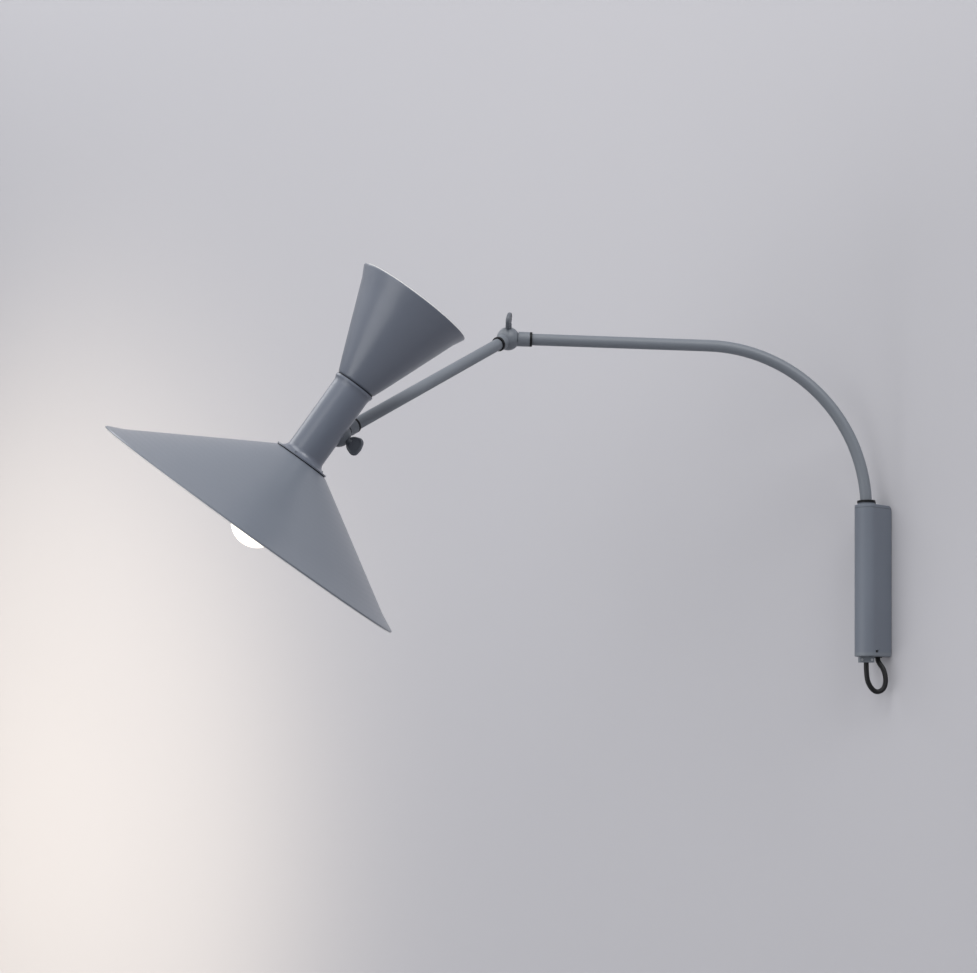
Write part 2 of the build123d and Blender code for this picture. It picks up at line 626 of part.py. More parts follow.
# ---- Ball knuckles ----------------------------------------------------------------
def make_half(plane, collar_end, tapped):
    """Half of a ball knuckle with the collar that grows from it along the plane's x.

    The half lies under the split, towards minus z. Above the split its collar is cut back
    round the other half's ball. A tapped half has the wing screw's blind thread, the friction
    disc's seat and a grub screw, and the other one the screw's clear hole and a flat for it.
    """
    split = SPLIT_GAP / 2
    radius = BALL_DIAMETER / 2
    collar = Plane(origin=plane.origin, x_dir=plane.z_dir, z_dir=plane.x_dir)
    turned_back = Plane(origin=plane.origin, x_dir=plane.x_dir * -1, z_dir=plane.z_dir)
    screw_reach = SCREW_THREAD_DEPTH + RUN_FIT if tapped else BALL_DIAMETER
    with BuildPart() as under:  # all that lies under the split
        with Locations(turned_back):
            Sphere(radius)
        with BuildSketch(collar):
            Circle(BALL_COLLAR / 2)
        extrude(amount=radius + MOAT_GAP + COLLAR_EDGE)
        with BuildSketch(plane.offset(-split)):
            Rectangle(2 * BALL_DIAMETER, 2 * BALL_DIAMETER)
        extrude(amount=BALL_DIAMETER, mode=Mode.SUBTRACT)
    with BuildPart() as half:
        with BuildSketch(collar):
            Circle(BALL_COLLAR / 2)
        extrude(amount=collar_end)
        end_edge = half.edges().sort_by(Axis(plane.origin, plane.x_dir))[-1]
        fillet(end_edge, COLLAR_EDGE)
        with Locations(turned_back):
            Sphere(radius + MOAT_GAP, mode=Mode.SUBTRACT)
        add(under.part)
        with BuildSketch(plane.offset(-split)):
            Circle(CAVITY_DIAMETER / 2)
        extrude(amount=-CAVITY_DEPTH, mode=Mode.SUBTRACT)
        with BuildSketch(plane):
            Circle(SCREW_DIAMETER / 2 + SEAT_FIT)
        extrude(amount=-screw_reach, mode=Mode.SUBTRACT)
        with BuildSketch(collar):
            Circle(LEAD_BORE / 2)
        extrude(amount=collar_end, mode=Mode.SUBTRACT)
        with BuildSketch(collar.offset(NIPPLE_TIP - RUN_FIT)):
            Circle(NIPPLE_DIAMETER / 2 + RUN_FIT)
        extrude(amount=collar_end, mode=Mode.SUBTRACT)
        if tapped:
            with BuildSketch(plane.offset(-split)):
                Circle(FRICTION_DIAMETER / 2 + SEAT_FIT)
            extrude(amount=SPLIT_GAP - FRICTION_THICKNESS, mode=Mode.SUBTRACT)
            with BuildSketch(grub_plane(plane)):
                Circle(GRUB_DIAMETER / 2 + SEAT_FIT)
            extrude(amount=-BALL_COLLAR / 2, mode=Mode.SUBTRACT)
        else:
            with BuildSketch(plane.offset(BALL_FLAT - radius)):
                Circle(radius)
            extrude(amount=-radius, mode=Mode.SUBTRACT)
    return half


def grub_plane(plane):
    """On a collar's round side, under the split, over the nipple's groove."""
    along = NIPPLE_TIP + GROOVE_FROM_END + GROOVE_WIDTH / 2
    place = plane.x_dir * along - plane.z_dir * (BALL_COLLAR / 2)
    return Plane(origin=plane.origin + place, z_dir=plane.z_dir * -1)


def make_knuckle_grub(plane):
    """A grub screw whose point runs in the nipple's groove and keeps it in the collar."""
    face = grub_plane(plane)
    depth = (BALL_COLLAR - NIPPLE_DIAMETER) / 2 - RUN_FIT
    point = GROOVE_DEPTH - RUN_FIT
    with BuildPart() as grub:
        with BuildSketch(face.offset(-depth)):
            Circle(GRUB_DIAMETER / 2)
        extrude(amount=KNUCKLE_GRUB_LENGTH)
        with BuildSketch(face.offset(-depth - point)):
            Circle(GROOVE_WIDTH / 2 - 2 * SEAT_FIT)
        extrude(amount=point)
        with BuildSketch(face.offset(-depth + KNUCKLE_GRUB_LENGTH)):
            RegularPolygon(GRUB_DIAMETER / 4, 6)
        extrude(amount=-KNUCKLE_GRUB_LENGTH / 2, mode=Mode.SUBTRACT)
    return grub


def make_wing_screw(plane, turn):
    """A wing screw along the plane's z: shank, shoulder and a flat round-eared head."""
    x_dir = turned(plane.x_dir, plane.z_dir, turn)
    face = Plane(origin=plane.origin, x_dir=x_dir, z_dir=x_dir.cross(plane.z_dir))
    ear = WING_WIDTH / 2 - WING_EAR_RADIUS
    ear_height = WING_TIP - WING_EAR_DROP
    shoulder_base = BALL_DIAMETER / 2 - BALL_FLAT + RUN_FIT
    with BuildPart() as screw:
        with BuildSketch(face):
            with Locations((-ear, ear_height), (ear, ear_height)):
                Circle(WING_EAR_RADIUS)
            with Locations((0, WING_TIP - WING_CROWN_RADIUS)):
                Circle(WING_CROWN_RADIUS)
            with Locations((0, WING_ROOT + WING_EDGE / 2)):
                Rectangle(WING_ROOT_WIDTH, WING_EDGE)
            make_hull()
        extrude(amount=WING_THICKNESS / 2, both=True)
        sides = screw.faces().sort_by(Axis(plane.origin, face.z_dir))
        fillet(sides[0].edges() + sides[-1].edges(), WING_EDGE)
        with BuildSketch(plane.offset(-SCREW_THREAD_DEPTH)):
            Circle(SCREW_DIAMETER / 2)
        extrude(amount=SCREW_THREAD_DEPTH + WING_ROOT + WING_EDGE)
        with BuildSketch(plane.offset(shoulder_base)):
            Circle(WING_ROOT_WIDTH / 2)
        extrude(amount=WING_ROOT + WING_EDGE - shoulder_base)
    return screw


# ---- Head -------------------------------------------------------------------------
def revolve_head(draw):
    """Turns a closed outline, drawn as radius and height above the neck's foot."""
    with BuildPart() as piece:
        with BuildSketch(HEAD_SECTION):
            with BuildLine():
                draw()
            make_face()
        revolve(axis=HEAD_AXIS)
    return piece


def end_pins(height, depth, radius, diameter):
    """Round pins about the head's axis, from a height downwards, to cut screw holes with."""
    with BuildPart() as pins:
        with BuildSketch(HEAD.offset(height)):
            with PolarLocations(radius, END_SCREW_COUNT, start_angle=END_SCREW_START):
                Circle(diameter / 2)
        extrude(amount=-depth)
    return pins


def flare(wide, narrow):
    """A hollow curve from a flare's edge that runs smoothly into the straight wall."""
    TangentArc(narrow, wide, tangent=(0, 1 if wide[1] > narrow[1] else -1))


def make_neck():
    inner = NECK_DIAMETER / 2 - NECK_WALL
    outer = NECK_DIAMETER / 2
    foot = NECK_FOOT_DIAMETER / 2
    top = NECK_TOP_DIAMETER / 2
    foot_hole = LOWER_SOCKET_DIAMETER / 2 + SOCKET_GAP
    top_hole = UPPER_SOCKET_DIAMETER / 2 + SOCKET_GAP
    waist = NECK_HEIGHT - NECK_TOP_HEIGHT

    def outline():
        Polyline((foot_hole, NECK_END_PLATE), (foot_hole, 0), (foot, 0), (foot, NECK_FOOT_RIM))
        flare((foot, NECK_FOOT_RIM), (outer, NECK_FOOT_HEIGHT))
        Line((outer, NECK_FOOT_HEIGHT), (outer, waist))
        flare((top, NECK_HEIGHT - NECK_TOP_RIM), (outer, waist))
        Polyline((top, NECK_HEIGHT - NECK_TOP_RIM), (top, NECK_HEIGHT), (top_hole, NECK_HEIGHT),
                 (top_hole, NECK_HEIGHT - NECK_END_PLATE), (inner, NECK_HEIGHT - NECK_END_PLATE),
                 (inner, NECK_END_PLATE), (foot_hole, NECK_END_PLATE))

    body = revolve_head(outline)
    tap = END_SCREW_DIAMETER + 2 * SEAT_FIT
    foot_pins = end_pins(NECK_END_PLATE, NECK_END_PLATE, FOOT_SCREW_RADIUS, tap)
    top_pins = end_pins(NECK_HEIGHT, NECK_END_PLATE, TOP_SCREW_RADIUS, tap)
    with BuildPart() as neck:
        add(body.part)
        with BuildSketch(STUB):
            Circle(NIPPLE_DIAMETER / 2 + SEAT_FIT)
        extrude(amount=NECK_OFFSET, mode=Mode.SUBTRACT)
        add(foot_pins.part, mode=Mode.SUBTRACT)
        add(top_pins.part, mode=Mode.SUBTRACT)
    return neck


def make_shade():
    """The wide lower shade: a spun cone with a flat top and a beaded rim."""
    top = -SEAL_THICKNESS
    low = top - SHADE_HEIGHT
    rim = SHADE_DIAMETER / 2
    crown = SHADE_TOP_DIAMETER / 2
    hole = LOWER_SOCKET_DIAMETER / 2 + SOCKET_GAP
    slope = (rim - crown) / SHADE_HEIGHT
    wall = SHADE_WALL * (1 + slope**2) ** 0.5

    def outline():
        Polyline((hole, top), (crown, top), (rim, low), (rim - wall, low),
                 (crown + SHADE_WALL * slope - wall, top - SHADE_WALL),
                 (hole, top - SHADE_WALL), close=True)

    cone = revolve_head(outline)
    pins = end_pins(top, SHADE_WALL, FOOT_SCREW_RADIUS, END_SCREW_DIAMETER + 4 * SEAT_FIT)
    with BuildPart() as shade:
        add(cone.part)
        with BuildSketch(HEAD_SECTION):
            with Locations((rim - wall / 2, low + SHADE_BEAD)):
                Circle(SHADE_BEAD)
        revolve(axis=HEAD_AXIS)
        add(pins.part, mode=Mode.SUBTRACT)
    return shade


def make_cone():
    """The narrow upper shade, open at the top."""
    low = NECK_HEIGHT + SEAL_THICKNESS
    high = low + CONE_HEIGHT
    base = CONE_BASE_DIAMETER / 2
    rim = CONE_RIM_DIAMETER / 2
    hole = UPPER_SOCKET_DIAMETER / 2 + SOCKET_GAP
    slope = (rim - base) / CONE_HEIGHT
    wall = SHADE_WALL * (1 + slope**2) ** 0.5

    def outline():
        Polyline((hole, low), (base, low), (rim, high), (rim - wall, high),
                 (base + SHADE_WALL * slope - wall, low + SHADE_WALL),
                 (hole, low + SHADE_WALL), close=True)

    cone = revolve_head(outline)
    pins = end_pins(low + SHADE_WALL, SHADE_WALL, TOP_SCREW_RADIUS,
                    END_SCREW_DIAMETER + 4 * SEAT_FIT)
    with BuildPart() as shade:
        add(cone.part)
        with BuildSketch(HEAD_SECTION):
            with Locations((rim - wall / 2, high - SHADE_BEAD)):
                Circle(SHADE_BEAD)
        revolve(axis=HEAD_AXIS)
        add(pins.part, mode=Mode.SUBTRACT)
    return shade


def make_seal(low, outer, hole, screw_radius):
    blank = ring(HEAD, low, low + SEAL_THICKNESS, outer, hole)
    pins = end_pins(low + SEAL_THICKNESS, SEAL_THICKNESS, screw_radius,
                    END_SCREW_DIAMETER + 4 * SEAT_FIT)
    with BuildPart() as seal:
        add(blank.part)
        add(pins.part, mode=Mode.SUBTRACT)
    return seal


def make_end_screws(seat, way, radius):
    """Pan-head screws whose heads seat at a height; way is +1 for shanks that point up."""
    shank = SEAL_THICKNESS + SHADE_WALL + NECK_END_PLATE
    plane = HEAD.offset(seat)
    with BuildPart() as screws:
        with BuildSketch(plane):
            with PolarLocations(radius, END_SCREW_COUNT, start_angle=END_SCREW_START):
                Circle(END_SCREW_HEAD / 2)
        extrude(amount=-way * END_SCREW_HEAD_HEIGHT)
        with BuildSketch(plane):
            with PolarLocations(radius, END_SCREW_COUNT, start_angle=END_SCREW_START):
                Circle(END_SCREW_DIAMETER / 2)
        extrude(amount=way * shank)
        with BuildSketch(plane.offset(-way * END_SCREW_HEAD_HEIGHT)):
            with PolarLocations(radius, END_SCREW_COUNT, start_angle=END_SCREW_START):
                Rectangle(DRIVE_LENGTH * END_SCREW_HEAD, DRIVE_WIDTH * END_SCREW_HEAD)
                Rectangle(DRIVE_WIDTH * END_SCREW_HEAD, DRIVE_LENGTH * END_SCREW_HEAD)
        extrude(amount=way * END_SCREW_HEAD_HEIGHT * DRIVE_DEPTH, mode=Mode.SUBTRACT)
    return screws


def make_bridge():
    """The block across the neck that takes the stub's nipple and both socket rods."""
    low = KNUCKLE_HEIGHT - BRIDGE_HEIGHT / 2
    diameter = NECK_DIAMETER - 2 * NECK_WALL - 2 * SEAT_FIT
    blank = ring(HEAD, low, low + BRIDGE_HEIGHT, diameter, ROD_DIAMETER + 2 * SEAT_FIT)
    with BuildPart() as bridge:
        add(blank.part)
        with BuildSketch(STUB):
            Circle(NIPPLE_DIAMETER / 2 + SEAT_FIT)
        extrude(amount=NECK_OFFSET, mode=Mode.SUBTRACT)
        for side in (-1, 1):  # lead channels beside the rods
            with BuildSketch(HEAD.offset(low)):
                with Locations((0, side * diameter / 2)):
                    Circle(diameter / 6)
            extrude(amount=BRIDGE_HEIGHT, mode=Mode.SUBTRACT)
    return bridge


def make_socket(floor, mouth, diameter, bore):
    """A lampholder from its closed end to its mouth, with the rod's seat in the floor."""
    way = 1 if mouth > floor else -1
    plane = HEAD.offset(floor)
    with BuildPart() as socket:
        with BuildSketch(plane):
            Circle(diameter / 2)
        extrude(amount=mouth - floor)
        with BuildSketch(HEAD.offset(mouth)):
            Circle(bore / 2)
        extrude(amount=-(mouth - floor) + way * SOCKET_FLOOR, mode=Mode.SUBTRACT)
        with BuildSketch(plane):
            Circle(ROD_DIAMETER / 2 + SEAT_FIT)
        extrude(amount=way * SOCKET_FLOOR, mode=Mode.SUBTRACT)
        lip = socket.edges().filter_by(GeomType.CIRCLE).sort_by(HEAD_AXIS)
        outer = [e for e in (lip[:2] if way < 0 else lip[-2:]) if e.radius > bore / 2 + SEAT_FIT]
        chamfer(outer, 2 * SOCKET_FIT)
    return socket


def make_bulb(tip, diameter, collar, neck, way):
    """A bulb's glass as a turned outline: round crown, tapering to its neck at the collar."""
    radius = diameter / 2
    centre = tip + way * radius
    turn = radians(BULB_CROWN_TURN)

    def outline():
        crown = ThreePointArc(
            (0, tip),
            (radius * sin(turn / 2), centre - way * radius * cos(turn / 2)),
            (radius * sin(turn), centre - way * radius * cos(turn)),
        )
        Spline(crown @ 1, (neck / 2, collar), tangents=(crown % 1, (0, way)))
        Polyline((neck / 2, collar), (0, collar), (0, tip))

    return revolve_head(outline)


def make_bulb_cap(collar, end, diameter):
    """A bulb's screw cap with its rolled turns and contact button."""
    way = 1 if end > collar else -1
    length = abs(end - collar) - BULB_BUTTON_HEIGHT
    radius = diameter / 2
    pitch = length / (BULB_THREAD_TURNS + 1)

    def outline():
        here = (radius, collar)
        Line((0, collar), here)
        for n in range(BULB_THREAD_TURNS):
            start = collar + way * pitch * (n + 0.5)
            bottom = start + way * pitch / 4
            end_of_turn = start + way * pitch / 2
            Line(here, (radius, start))
            ThreePointArc((radius, start), (radius - BULB_THREAD_DEPTH, bottom),
                          (radius, end_of_turn))
            here = (radius, end_of_turn)
        Polyline(here, (radius, collar + way * length), (radius * BULB_BUTTON_SHARE, end), (0, end),
                 (0, collar))

    return revolve_head(outline)


# ---- Build and write every piece --------------------------------------------------
def write_bracket():
    save(make_wall_plate(), "wall_plate")
    save(make_housing(), "bracket_housing")
    save(make_bottom_cap(), "bottom_cap")
    cap_face = Plane(origin=(*CAP_SCREW_PLACE, -HALF_HEIGHT), z_dir=(0, 0, 1))
    save(make_countersunk(cap_face, CAP_THICKNESS + EAR_THICKNESS + CAP_SCREW_END,
                          CAP_SCREW_DIAMETER, CAP_SCREW_HEAD), "cap_screw")
    boss_top = HALF_HEIGHT + BOSS_HEIGHT
    save(make_bush(boss_top - BUSH_LENGTH, boss_top, BUSH_TAB_REACH, 90, BOSS_HEIGHT), "upper_bush")
    save(make_bush(BARREL_BOTTOM - FLANGE_THICKNESS, BARREL_BOTTOM - FLANGE_THICKNESS,
                   LOWER_TAB_REACH, LOWER_TAB_TURN, 0), "lower_bush")
    bracket_axis = Plane(origin=PIVOT, z_dir=(0, 0, 1))
    save(ring(bracket_axis, BARREL_TOP, BARREL_TOP + THRUST_WASHER_THICKNESS, COLLAR_DIAMETER,
              TUBE_DIAMETER + 2 * LOOSE_FIT), "thrust_washer")
    save(make_terminal_block(), "terminal_block")
    save(make_terminal_screws(), "terminal_screws")
    save(make_grommet(), "cord_grommet")
    cord, wire, radii = make_cord(LOOP_POINTS)
    save(cord, "cord_loop")
    section = pi * CORD_DIAMETER**2 / 4
    print("cord length", round(wire.length, 2), "radii", [round(r, 1) for r in radii])
    print("cord volume", round(cord.part.volume, 1), "against", round(section * wire.length, 1))
    save(straight_lead((*CORD_HOLE, GROMMET_BOTTOM),
                       (*CORD_HOLE, TERMINAL_CENTRE - TERMINAL_HEIGHT / 2)), "supply_lead")


def write_main_arm():
    save(sweep_round(arm_path(POST_BOTTOM, 0), TUBE_DIAMETER, TUBE_BORE), "main_arm_tube")
    into_knuckle = SWIVEL_WASHER + LONG_COLLAR - NIPPLE_TIP
    save(sweep_round(arm_path(CLAMP_BOTTOM, into_knuckle), LEAD_DIAMETER), "arm_lead")
    axis = Plane(origin=PIVOT, z_dir=(0, 0, 1))
    low = BARREL_TOP + THRUST_WASHER_THICKNESS
    blank = ring(axis, low, low + COLLAR_HEIGHT, COLLAR_DIAMETER, TUBE_DIAMETER + 2 * RUN_FIT)
    grub = Plane(origin=PIVOT + UP * (low + COLLAR_HEIGHT / 2), z_dir=(0, 1, 0))
    with BuildPart() as collar:
        add(blank.part)
        with BuildSketch(grub):
            Circle(GRUB_DIAMETER / 2 + SEAT_FIT)
        extrude(amount=COLLAR_DIAMETER, mode=Mode.SUBTRACT)
    save(collar, "post_collar")
    save(ring(grub, TUBE_DIAMETER / 2 + RUN_FIT, TUBE_DIAMETER / 2 + GRUB_LENGTH, GRUB_DIAMETER),
         "collar_grub")
    save(make_clamp(front=True), "cord_clamp_front")
    save(make_clamp(front=False), "cord_clamp_back")
    save(make_clamp_screws(), "clamp_screws")
    save(make_nipple(ARM_END, LONG_COLLAR, True), "arm_nipple")
    save(ring(ARM_END, LONG_COLLAR, LONG_COLLAR + SWIVEL_WASHER, BALL_COLLAR,
              NIPPLE_DIAMETER + 2 * SEAT_FIT), "elbow_washer")


def write_knuckle(prefix, arm_half, wing_turn):
    """A knuckle's tapped half, its friction disc, its grub screw and its wing screw."""
    save(make_half(arm_half, LONG_COLLAR, True), f"{prefix}_tapped_half")
    top = SPLIT_GAP / 2
    save(ring(arm_half, top - FRICTION_THICKNESS, top, FRICTION_DIAMETER, FRICTION_BORE),
         f"{prefix}_friction_disc")
    save(make_knuckle_grub(arm_half), f"{prefix}_grub")
    save(make_wing_screw(arm_half, wing_turn), f"{prefix}_wing_screw")


def write_forearm():
    save(make_half(ELBOW_FORE_HALF, SHORT_COLLAR, False), "elbow_clear_half")
    start = SHORT_COLLAR + SWIVEL_WASHER
    save(ring(FOREARM_START, SHORT_COLLAR, start, BALL_COLLAR,
              NIPPLE_DIAMETER + 2 * SEAT_FIT), "forearm_washer")
    save(make_nipple(FOREARM_START, SHORT_COLLAR, False), "forearm_nipple")
    end = FOREARM_LENGTH - LONG_COLLAR - SWIVEL_WASHER
    save(ring(FOREARM_START, start, end, TUBE_DIAMETER, TUBE_BORE), "forearm_tube")
    save(ring(FOREARM_START, NIPPLE_TIP, FOREARM_LENGTH - NIPPLE_TIP, LEAD_DIAMETER),
         "forearm_lead")
    save(make_nipple(FOREARM_END, LONG_COLLAR, True), "wrist_nipple")
    save(ring(FOREARM_END, LONG_COLLAR, LONG_COLLAR + SWIVEL_WASHER, BALL_COLLAR,
              NIPPLE_DIAMETER + 2 * SEAT_FIT), "wrist_washer")


def write_head():
    collar_blank = make_half(WRIST_HEAD_HALF, NECK_OFFSET - NECK_WALL, False)
    with BuildPart() as coped:  # the collar's end follows the neck's round side
        add(collar_blank.part)
        with BuildSketch(HEAD):
            Circle(NECK_DIAMETER / 2 + SEAT_FIT / 2)
        extrude(amount=NECK_HEIGHT, mode=Mode.SUBTRACT)
    save(coped, "wrist_clear_half")
    bridge_face = NECK_OFFSET - ROD_DIAMETER / 2 - 2 * SOCKET_GAP
    save(ring(STUB, NIPPLE_TIP, bridge_face, NIPPLE_DIAMETER, LEAD_BORE), "neck_nipple")
    save(make_neck(), "neck")
    foot_hole = LOWER_SOCKET_DIAMETER + 2 * SOCKET_GAP
    top_hole = UPPER_SOCKET_DIAMETER + 2 * SOCKET_GAP
    save(make_seal(-SEAL_THICKNESS, NECK_FOOT_DIAMETER - 2 * SEAL_SETBACK, foot_hole,
                   FOOT_SCREW_RADIUS), "shade_seal")
    save(make_seal(NECK_HEIGHT, CONE_BASE_DIAMETER - 2 * SEAL_SETBACK, top_hole,
                   TOP_SCREW_RADIUS), "cone_seal")
    save(make_shade(), "lower_shade")
    save(make_cone(), "upper_shade")
    save(make_end_screws(-SEAL_THICKNESS - SHADE_WALL, 1, FOOT_SCREW_RADIUS), "shade_screws")
    save(make_end_screws(NECK_HEIGHT + SEAL_THICKNESS + SHADE_WALL, -1, TOP_SCREW_RADIUS),
         "cone_screws")
    save(make_bridge(), "socket_bridge")
    bridge_low = KNUCKLE_HEIGHT - BRIDGE_HEIGHT / 2
    bridge_high = KNUCKLE_HEIGHT + BRIDGE_HEIGHT / 2
    rod_end = BRIDGE_HEIGHT / 3
    save(ring(HEAD, LOWER_SOCKET_TOP - SOCKET_FLOOR, bridge_low + rod_end, ROD_DIAMETER, ROD_BORE),
         "lower_socket_rod")
    save(ring(HEAD, bridge_high - rod_end, UPPER_SOCKET_BOTTOM + SOCKET_FLOOR, ROD_DIAMETER,
              ROD_BORE), "upper_socket_rod")
    save(make_socket(LOWER_SOCKET_TOP, LOWER_SOCKET_MOUTH, LOWER_SOCKET_DIAMETER,
                     LOWER_CAP_DIAMETER + 2 * SOCKET_FIT), "lower_socket")
    save(make_socket(UPPER_SOCKET_BOTTOM, UPPER_SOCKET_MOUTH, UPPER_SOCKET_DIAMETER,
                     UPPER_CAP_DIAMETER + 2 * SOCKET_FIT), "upper_socket")
    lower_collar = LOWER_SOCKET_MOUTH - 2 * SOCKET_GAP
    upper_collar = UPPER_SOCKET_MOUTH + 2 * SOCKET_GAP
    save(make_bulb(LOWER_BULB_TIP, LOWER_BULB_DIAMETER, lower_collar, LOWER_BULB_NECK, 1),
         "lower_bulb_glass")
    save(make_bulb_cap(lower_collar, lower_collar + SOCKET_ENTRY, LOWER_CAP_DIAMETER),
         "lower_bulb_cap")
    save(make_bulb(UPPER_BULB_TIP, UPPER_BULB_DIAMETER, upper_collar, UPPER_BULB_NECK, -1),
         "upper_bulb_glass")
    save(make_bulb_cap(upper_collar, upper_collar - SOCKET_ENTRY, UPPER_CAP_DIAMETER),
         "upper_bulb_cap")


write_bracket()
write_main_arm()
write_knuckle("elbow", ELBOW_ARM_HALF, ELBOW_WING_TURN)
write_forearm()
write_knuckle("wrist", WRIST_ARM_HALF, HEAD_WING_TURN)
write_head()
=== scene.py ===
"""Looks for the articulating wall lamp: finishes, turned shades, wing screws, bulbs and cord.

Metres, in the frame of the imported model: the wall is y = 0, the lamp stands out towards -Y
and +Z is up. Every piece rides on the body that carries it.
"""

import json
import math

import bpy
from mathutils import Matrix, Quaternion, Vector


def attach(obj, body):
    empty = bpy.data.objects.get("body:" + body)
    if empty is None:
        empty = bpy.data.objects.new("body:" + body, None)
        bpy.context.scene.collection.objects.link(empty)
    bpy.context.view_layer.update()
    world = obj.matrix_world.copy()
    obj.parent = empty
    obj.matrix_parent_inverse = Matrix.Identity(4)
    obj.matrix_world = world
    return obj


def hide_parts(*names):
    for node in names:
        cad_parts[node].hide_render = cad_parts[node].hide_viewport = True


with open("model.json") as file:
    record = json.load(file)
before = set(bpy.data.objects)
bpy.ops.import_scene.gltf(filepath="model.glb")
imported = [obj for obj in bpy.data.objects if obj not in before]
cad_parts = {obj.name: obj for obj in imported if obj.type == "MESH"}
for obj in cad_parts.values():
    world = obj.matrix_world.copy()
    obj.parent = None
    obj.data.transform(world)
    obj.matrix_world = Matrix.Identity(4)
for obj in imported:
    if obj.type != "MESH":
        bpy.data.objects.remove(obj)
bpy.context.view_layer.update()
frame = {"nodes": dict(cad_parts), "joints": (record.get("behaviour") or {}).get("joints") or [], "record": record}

bl_info = {
    "name": "Articulating wall lamp",
    "version": (1, 0, 0),
    "blender": (4, 5, 0),
    "location": "View3D > Sidebar > Lamp",
    "description": "Finishes and turned pieces for an articulating wall lamp",
    "category": "Object",
}

MM = 0.001
JOINTS = {joint["name"]: joint for joint in frame["joints"]}
HEAD_BEND = -42.7  # degrees, neck stub from the forearm's line at rest
NECK_OFFSET = 34.0 * MM
KNUCKLE_HEIGHT = 40.6 * MM
HOUSING_SEAM = 75.6 * MM  # above the bracket's middle
# Half width of the painted shadow line along the housing's end cap.
SEAM_SHADOW_HALF_WIDTH = 0.45 * MM
GLOW_STRENGTH = 2.6


# ---- Frames ------------------------------------------------------------------------
def joint_axis(name):
    return Vector(JOINTS[name]["axis"]).normalized()


def joint_place(name):
    return Vector(JOINTS[name]["pos_m"])


def frame_of(origin, x_dir, z_dir):
    """A matrix whose columns are a right-handed frame with the given x and z."""
    z = z_dir.normalized()
    x = (x_dir - z * x_dir.dot(z)).normalized()
    rotation = Matrix((x, z.cross(x), z)).transposed().to_4x4()
    return Matrix.Translation(origin) @ rotation


def head_frame():
    """Origin at the centre of the neck's foot, z up the head, x away from the knuckle."""
    tilt = joint_axis("wrist_hinge")
    stub = Quaternion(tilt, math.radians(HEAD_BEND)) @ joint_axis("wrist_roll")
    up = Quaternion(tilt, math.radians(-90)) @ stub
    foot = joint_place("wrist_hinge") + stub * NECK_OFFSET - up * KNUCKLE_HEIGHT
    return frame_of(foot, stub, up)


# ---- Sizes and colours -------------------------------------------------------------
def size(name, value, description):
    return bpy.props.FloatProperty(
        name=name, description=description, default=value * MM, unit="LENGTH", precision=5
    )


def colour(name, value, description):
    return bpy.props.FloatVectorProperty(
        name=name, description=description, default=value, subtype="COLOR", size=3, min=0, max=1
    )


class LampSizes(bpy.types.PropertyGroup):
    """Sizes of the pieces that are made here."""

    cord: size("Cord", 5.2, "Diameter of the cord loop under the bracket")
    shade_rim: size("Lower shade", 160.0, "Outer radius of the lower shade's rim")
    shade_crown: size("Lower shade top", 27.2, "Outer radius of the lower shade's flat top")
    shade_height: size("Lower shade height", 80.6, "From its flat top to its rim")
    shade_top: size("Lower shade place", -0.9, "Height of its flat top above the neck's foot")
    shade_hole: size("Lower shade hole", 16.0, "Radius of the hole for the lampholder")
    cone_rim: size("Upper shade", 56.2, "Outer radius of the upper shade's rim")
    cone_base: size("Upper shade base", 19.6, "Outer radius of the upper shade's flat base")
    cone_height: size("Upper shade height", 94.0, "From its flat base to its rim")
    cone_low: size("Upper shade place", 85.2, "Height of its flat base above the neck's foot")
    cone_hole: size("Upper shade hole", 12.5, "Radius of the hole for the lampholder")
    wall: size("Shade wall", 1.2, "Thickness of the spun shades")
    bead: size("Rim bead", 1.3, "Radius of the rolled bead on the shades' rims")


class LampColours(bpy.types.PropertyGroup):
    """Colours of the finishes."""

    paint: colour("Paint", (0.145, 0.161, 0.184), "Satin lacquer on the arm and the joints")
    # Painted shade: the arm's lacquer made darker and bluer on the housing, standing in for the shade on it.
    housing: colour(
        "Housing paint", (0.126, 0.143, 0.173), "Satin lacquer on the bracket's housing"
    )
    shade: colour("Shade paint", (0.144, 0.162, 0.193), "Satin lacquer on the lower shade")
    # Painted shade: the upper shade and neck have the same lacquer as the lower shade, made darker here for the
    # lesser light on them.
    cone: colour("Cone paint", (0.114, 0.130, 0.166), "Satin lacquer on the upper shade and neck")
    # Painted shade: the arm's lacquer made darker for the wing screws, standing in for the shade they sit in by
    # the knuckles.
    wing: colour("Wing paint", (0.096, 0.106, 0.124), "Lacquer on the wing screws")
    lining: colour("Lining", (0.60, 0.595, 0.575), "Lacquer inside the shades")
    nylon: colour("Nylon", (0.005, 0.0055, 0.007), "Washers and bushes")
    cord: colour("Cord", (0.006, 0.006, 0.007), "Sheath of the cord loop")
    steel: colour("Zinc", (0.50, 0.51, 0.53), "Zinc-plated screws and nipples")
    ceramic: colour("Ceramic", (0.78, 0.77, 0.73), "Lampholders and terminal block")
    nickel: colour("Nickel", (0.62, 0.60, 0.56), "Bulb caps")
    glass: colour("Glass", (0.90, 0.89, 0.86), "Opal bulbs")
    glow: colour("Glow", (1.0, 0.88, 0.70), "Light of the lower bulb")
    wall: colour("Wall", (0.442, 0.438, 0.462), "Backdrop behind the lamp")
    floor: colour("Floor", (0.56, 0.56, 0.58), "Floor under the lamp")


def sizes():
    return bpy.context.scene.lamp_sizes


def colours():
    return bpy.context.scene.lamp_colours


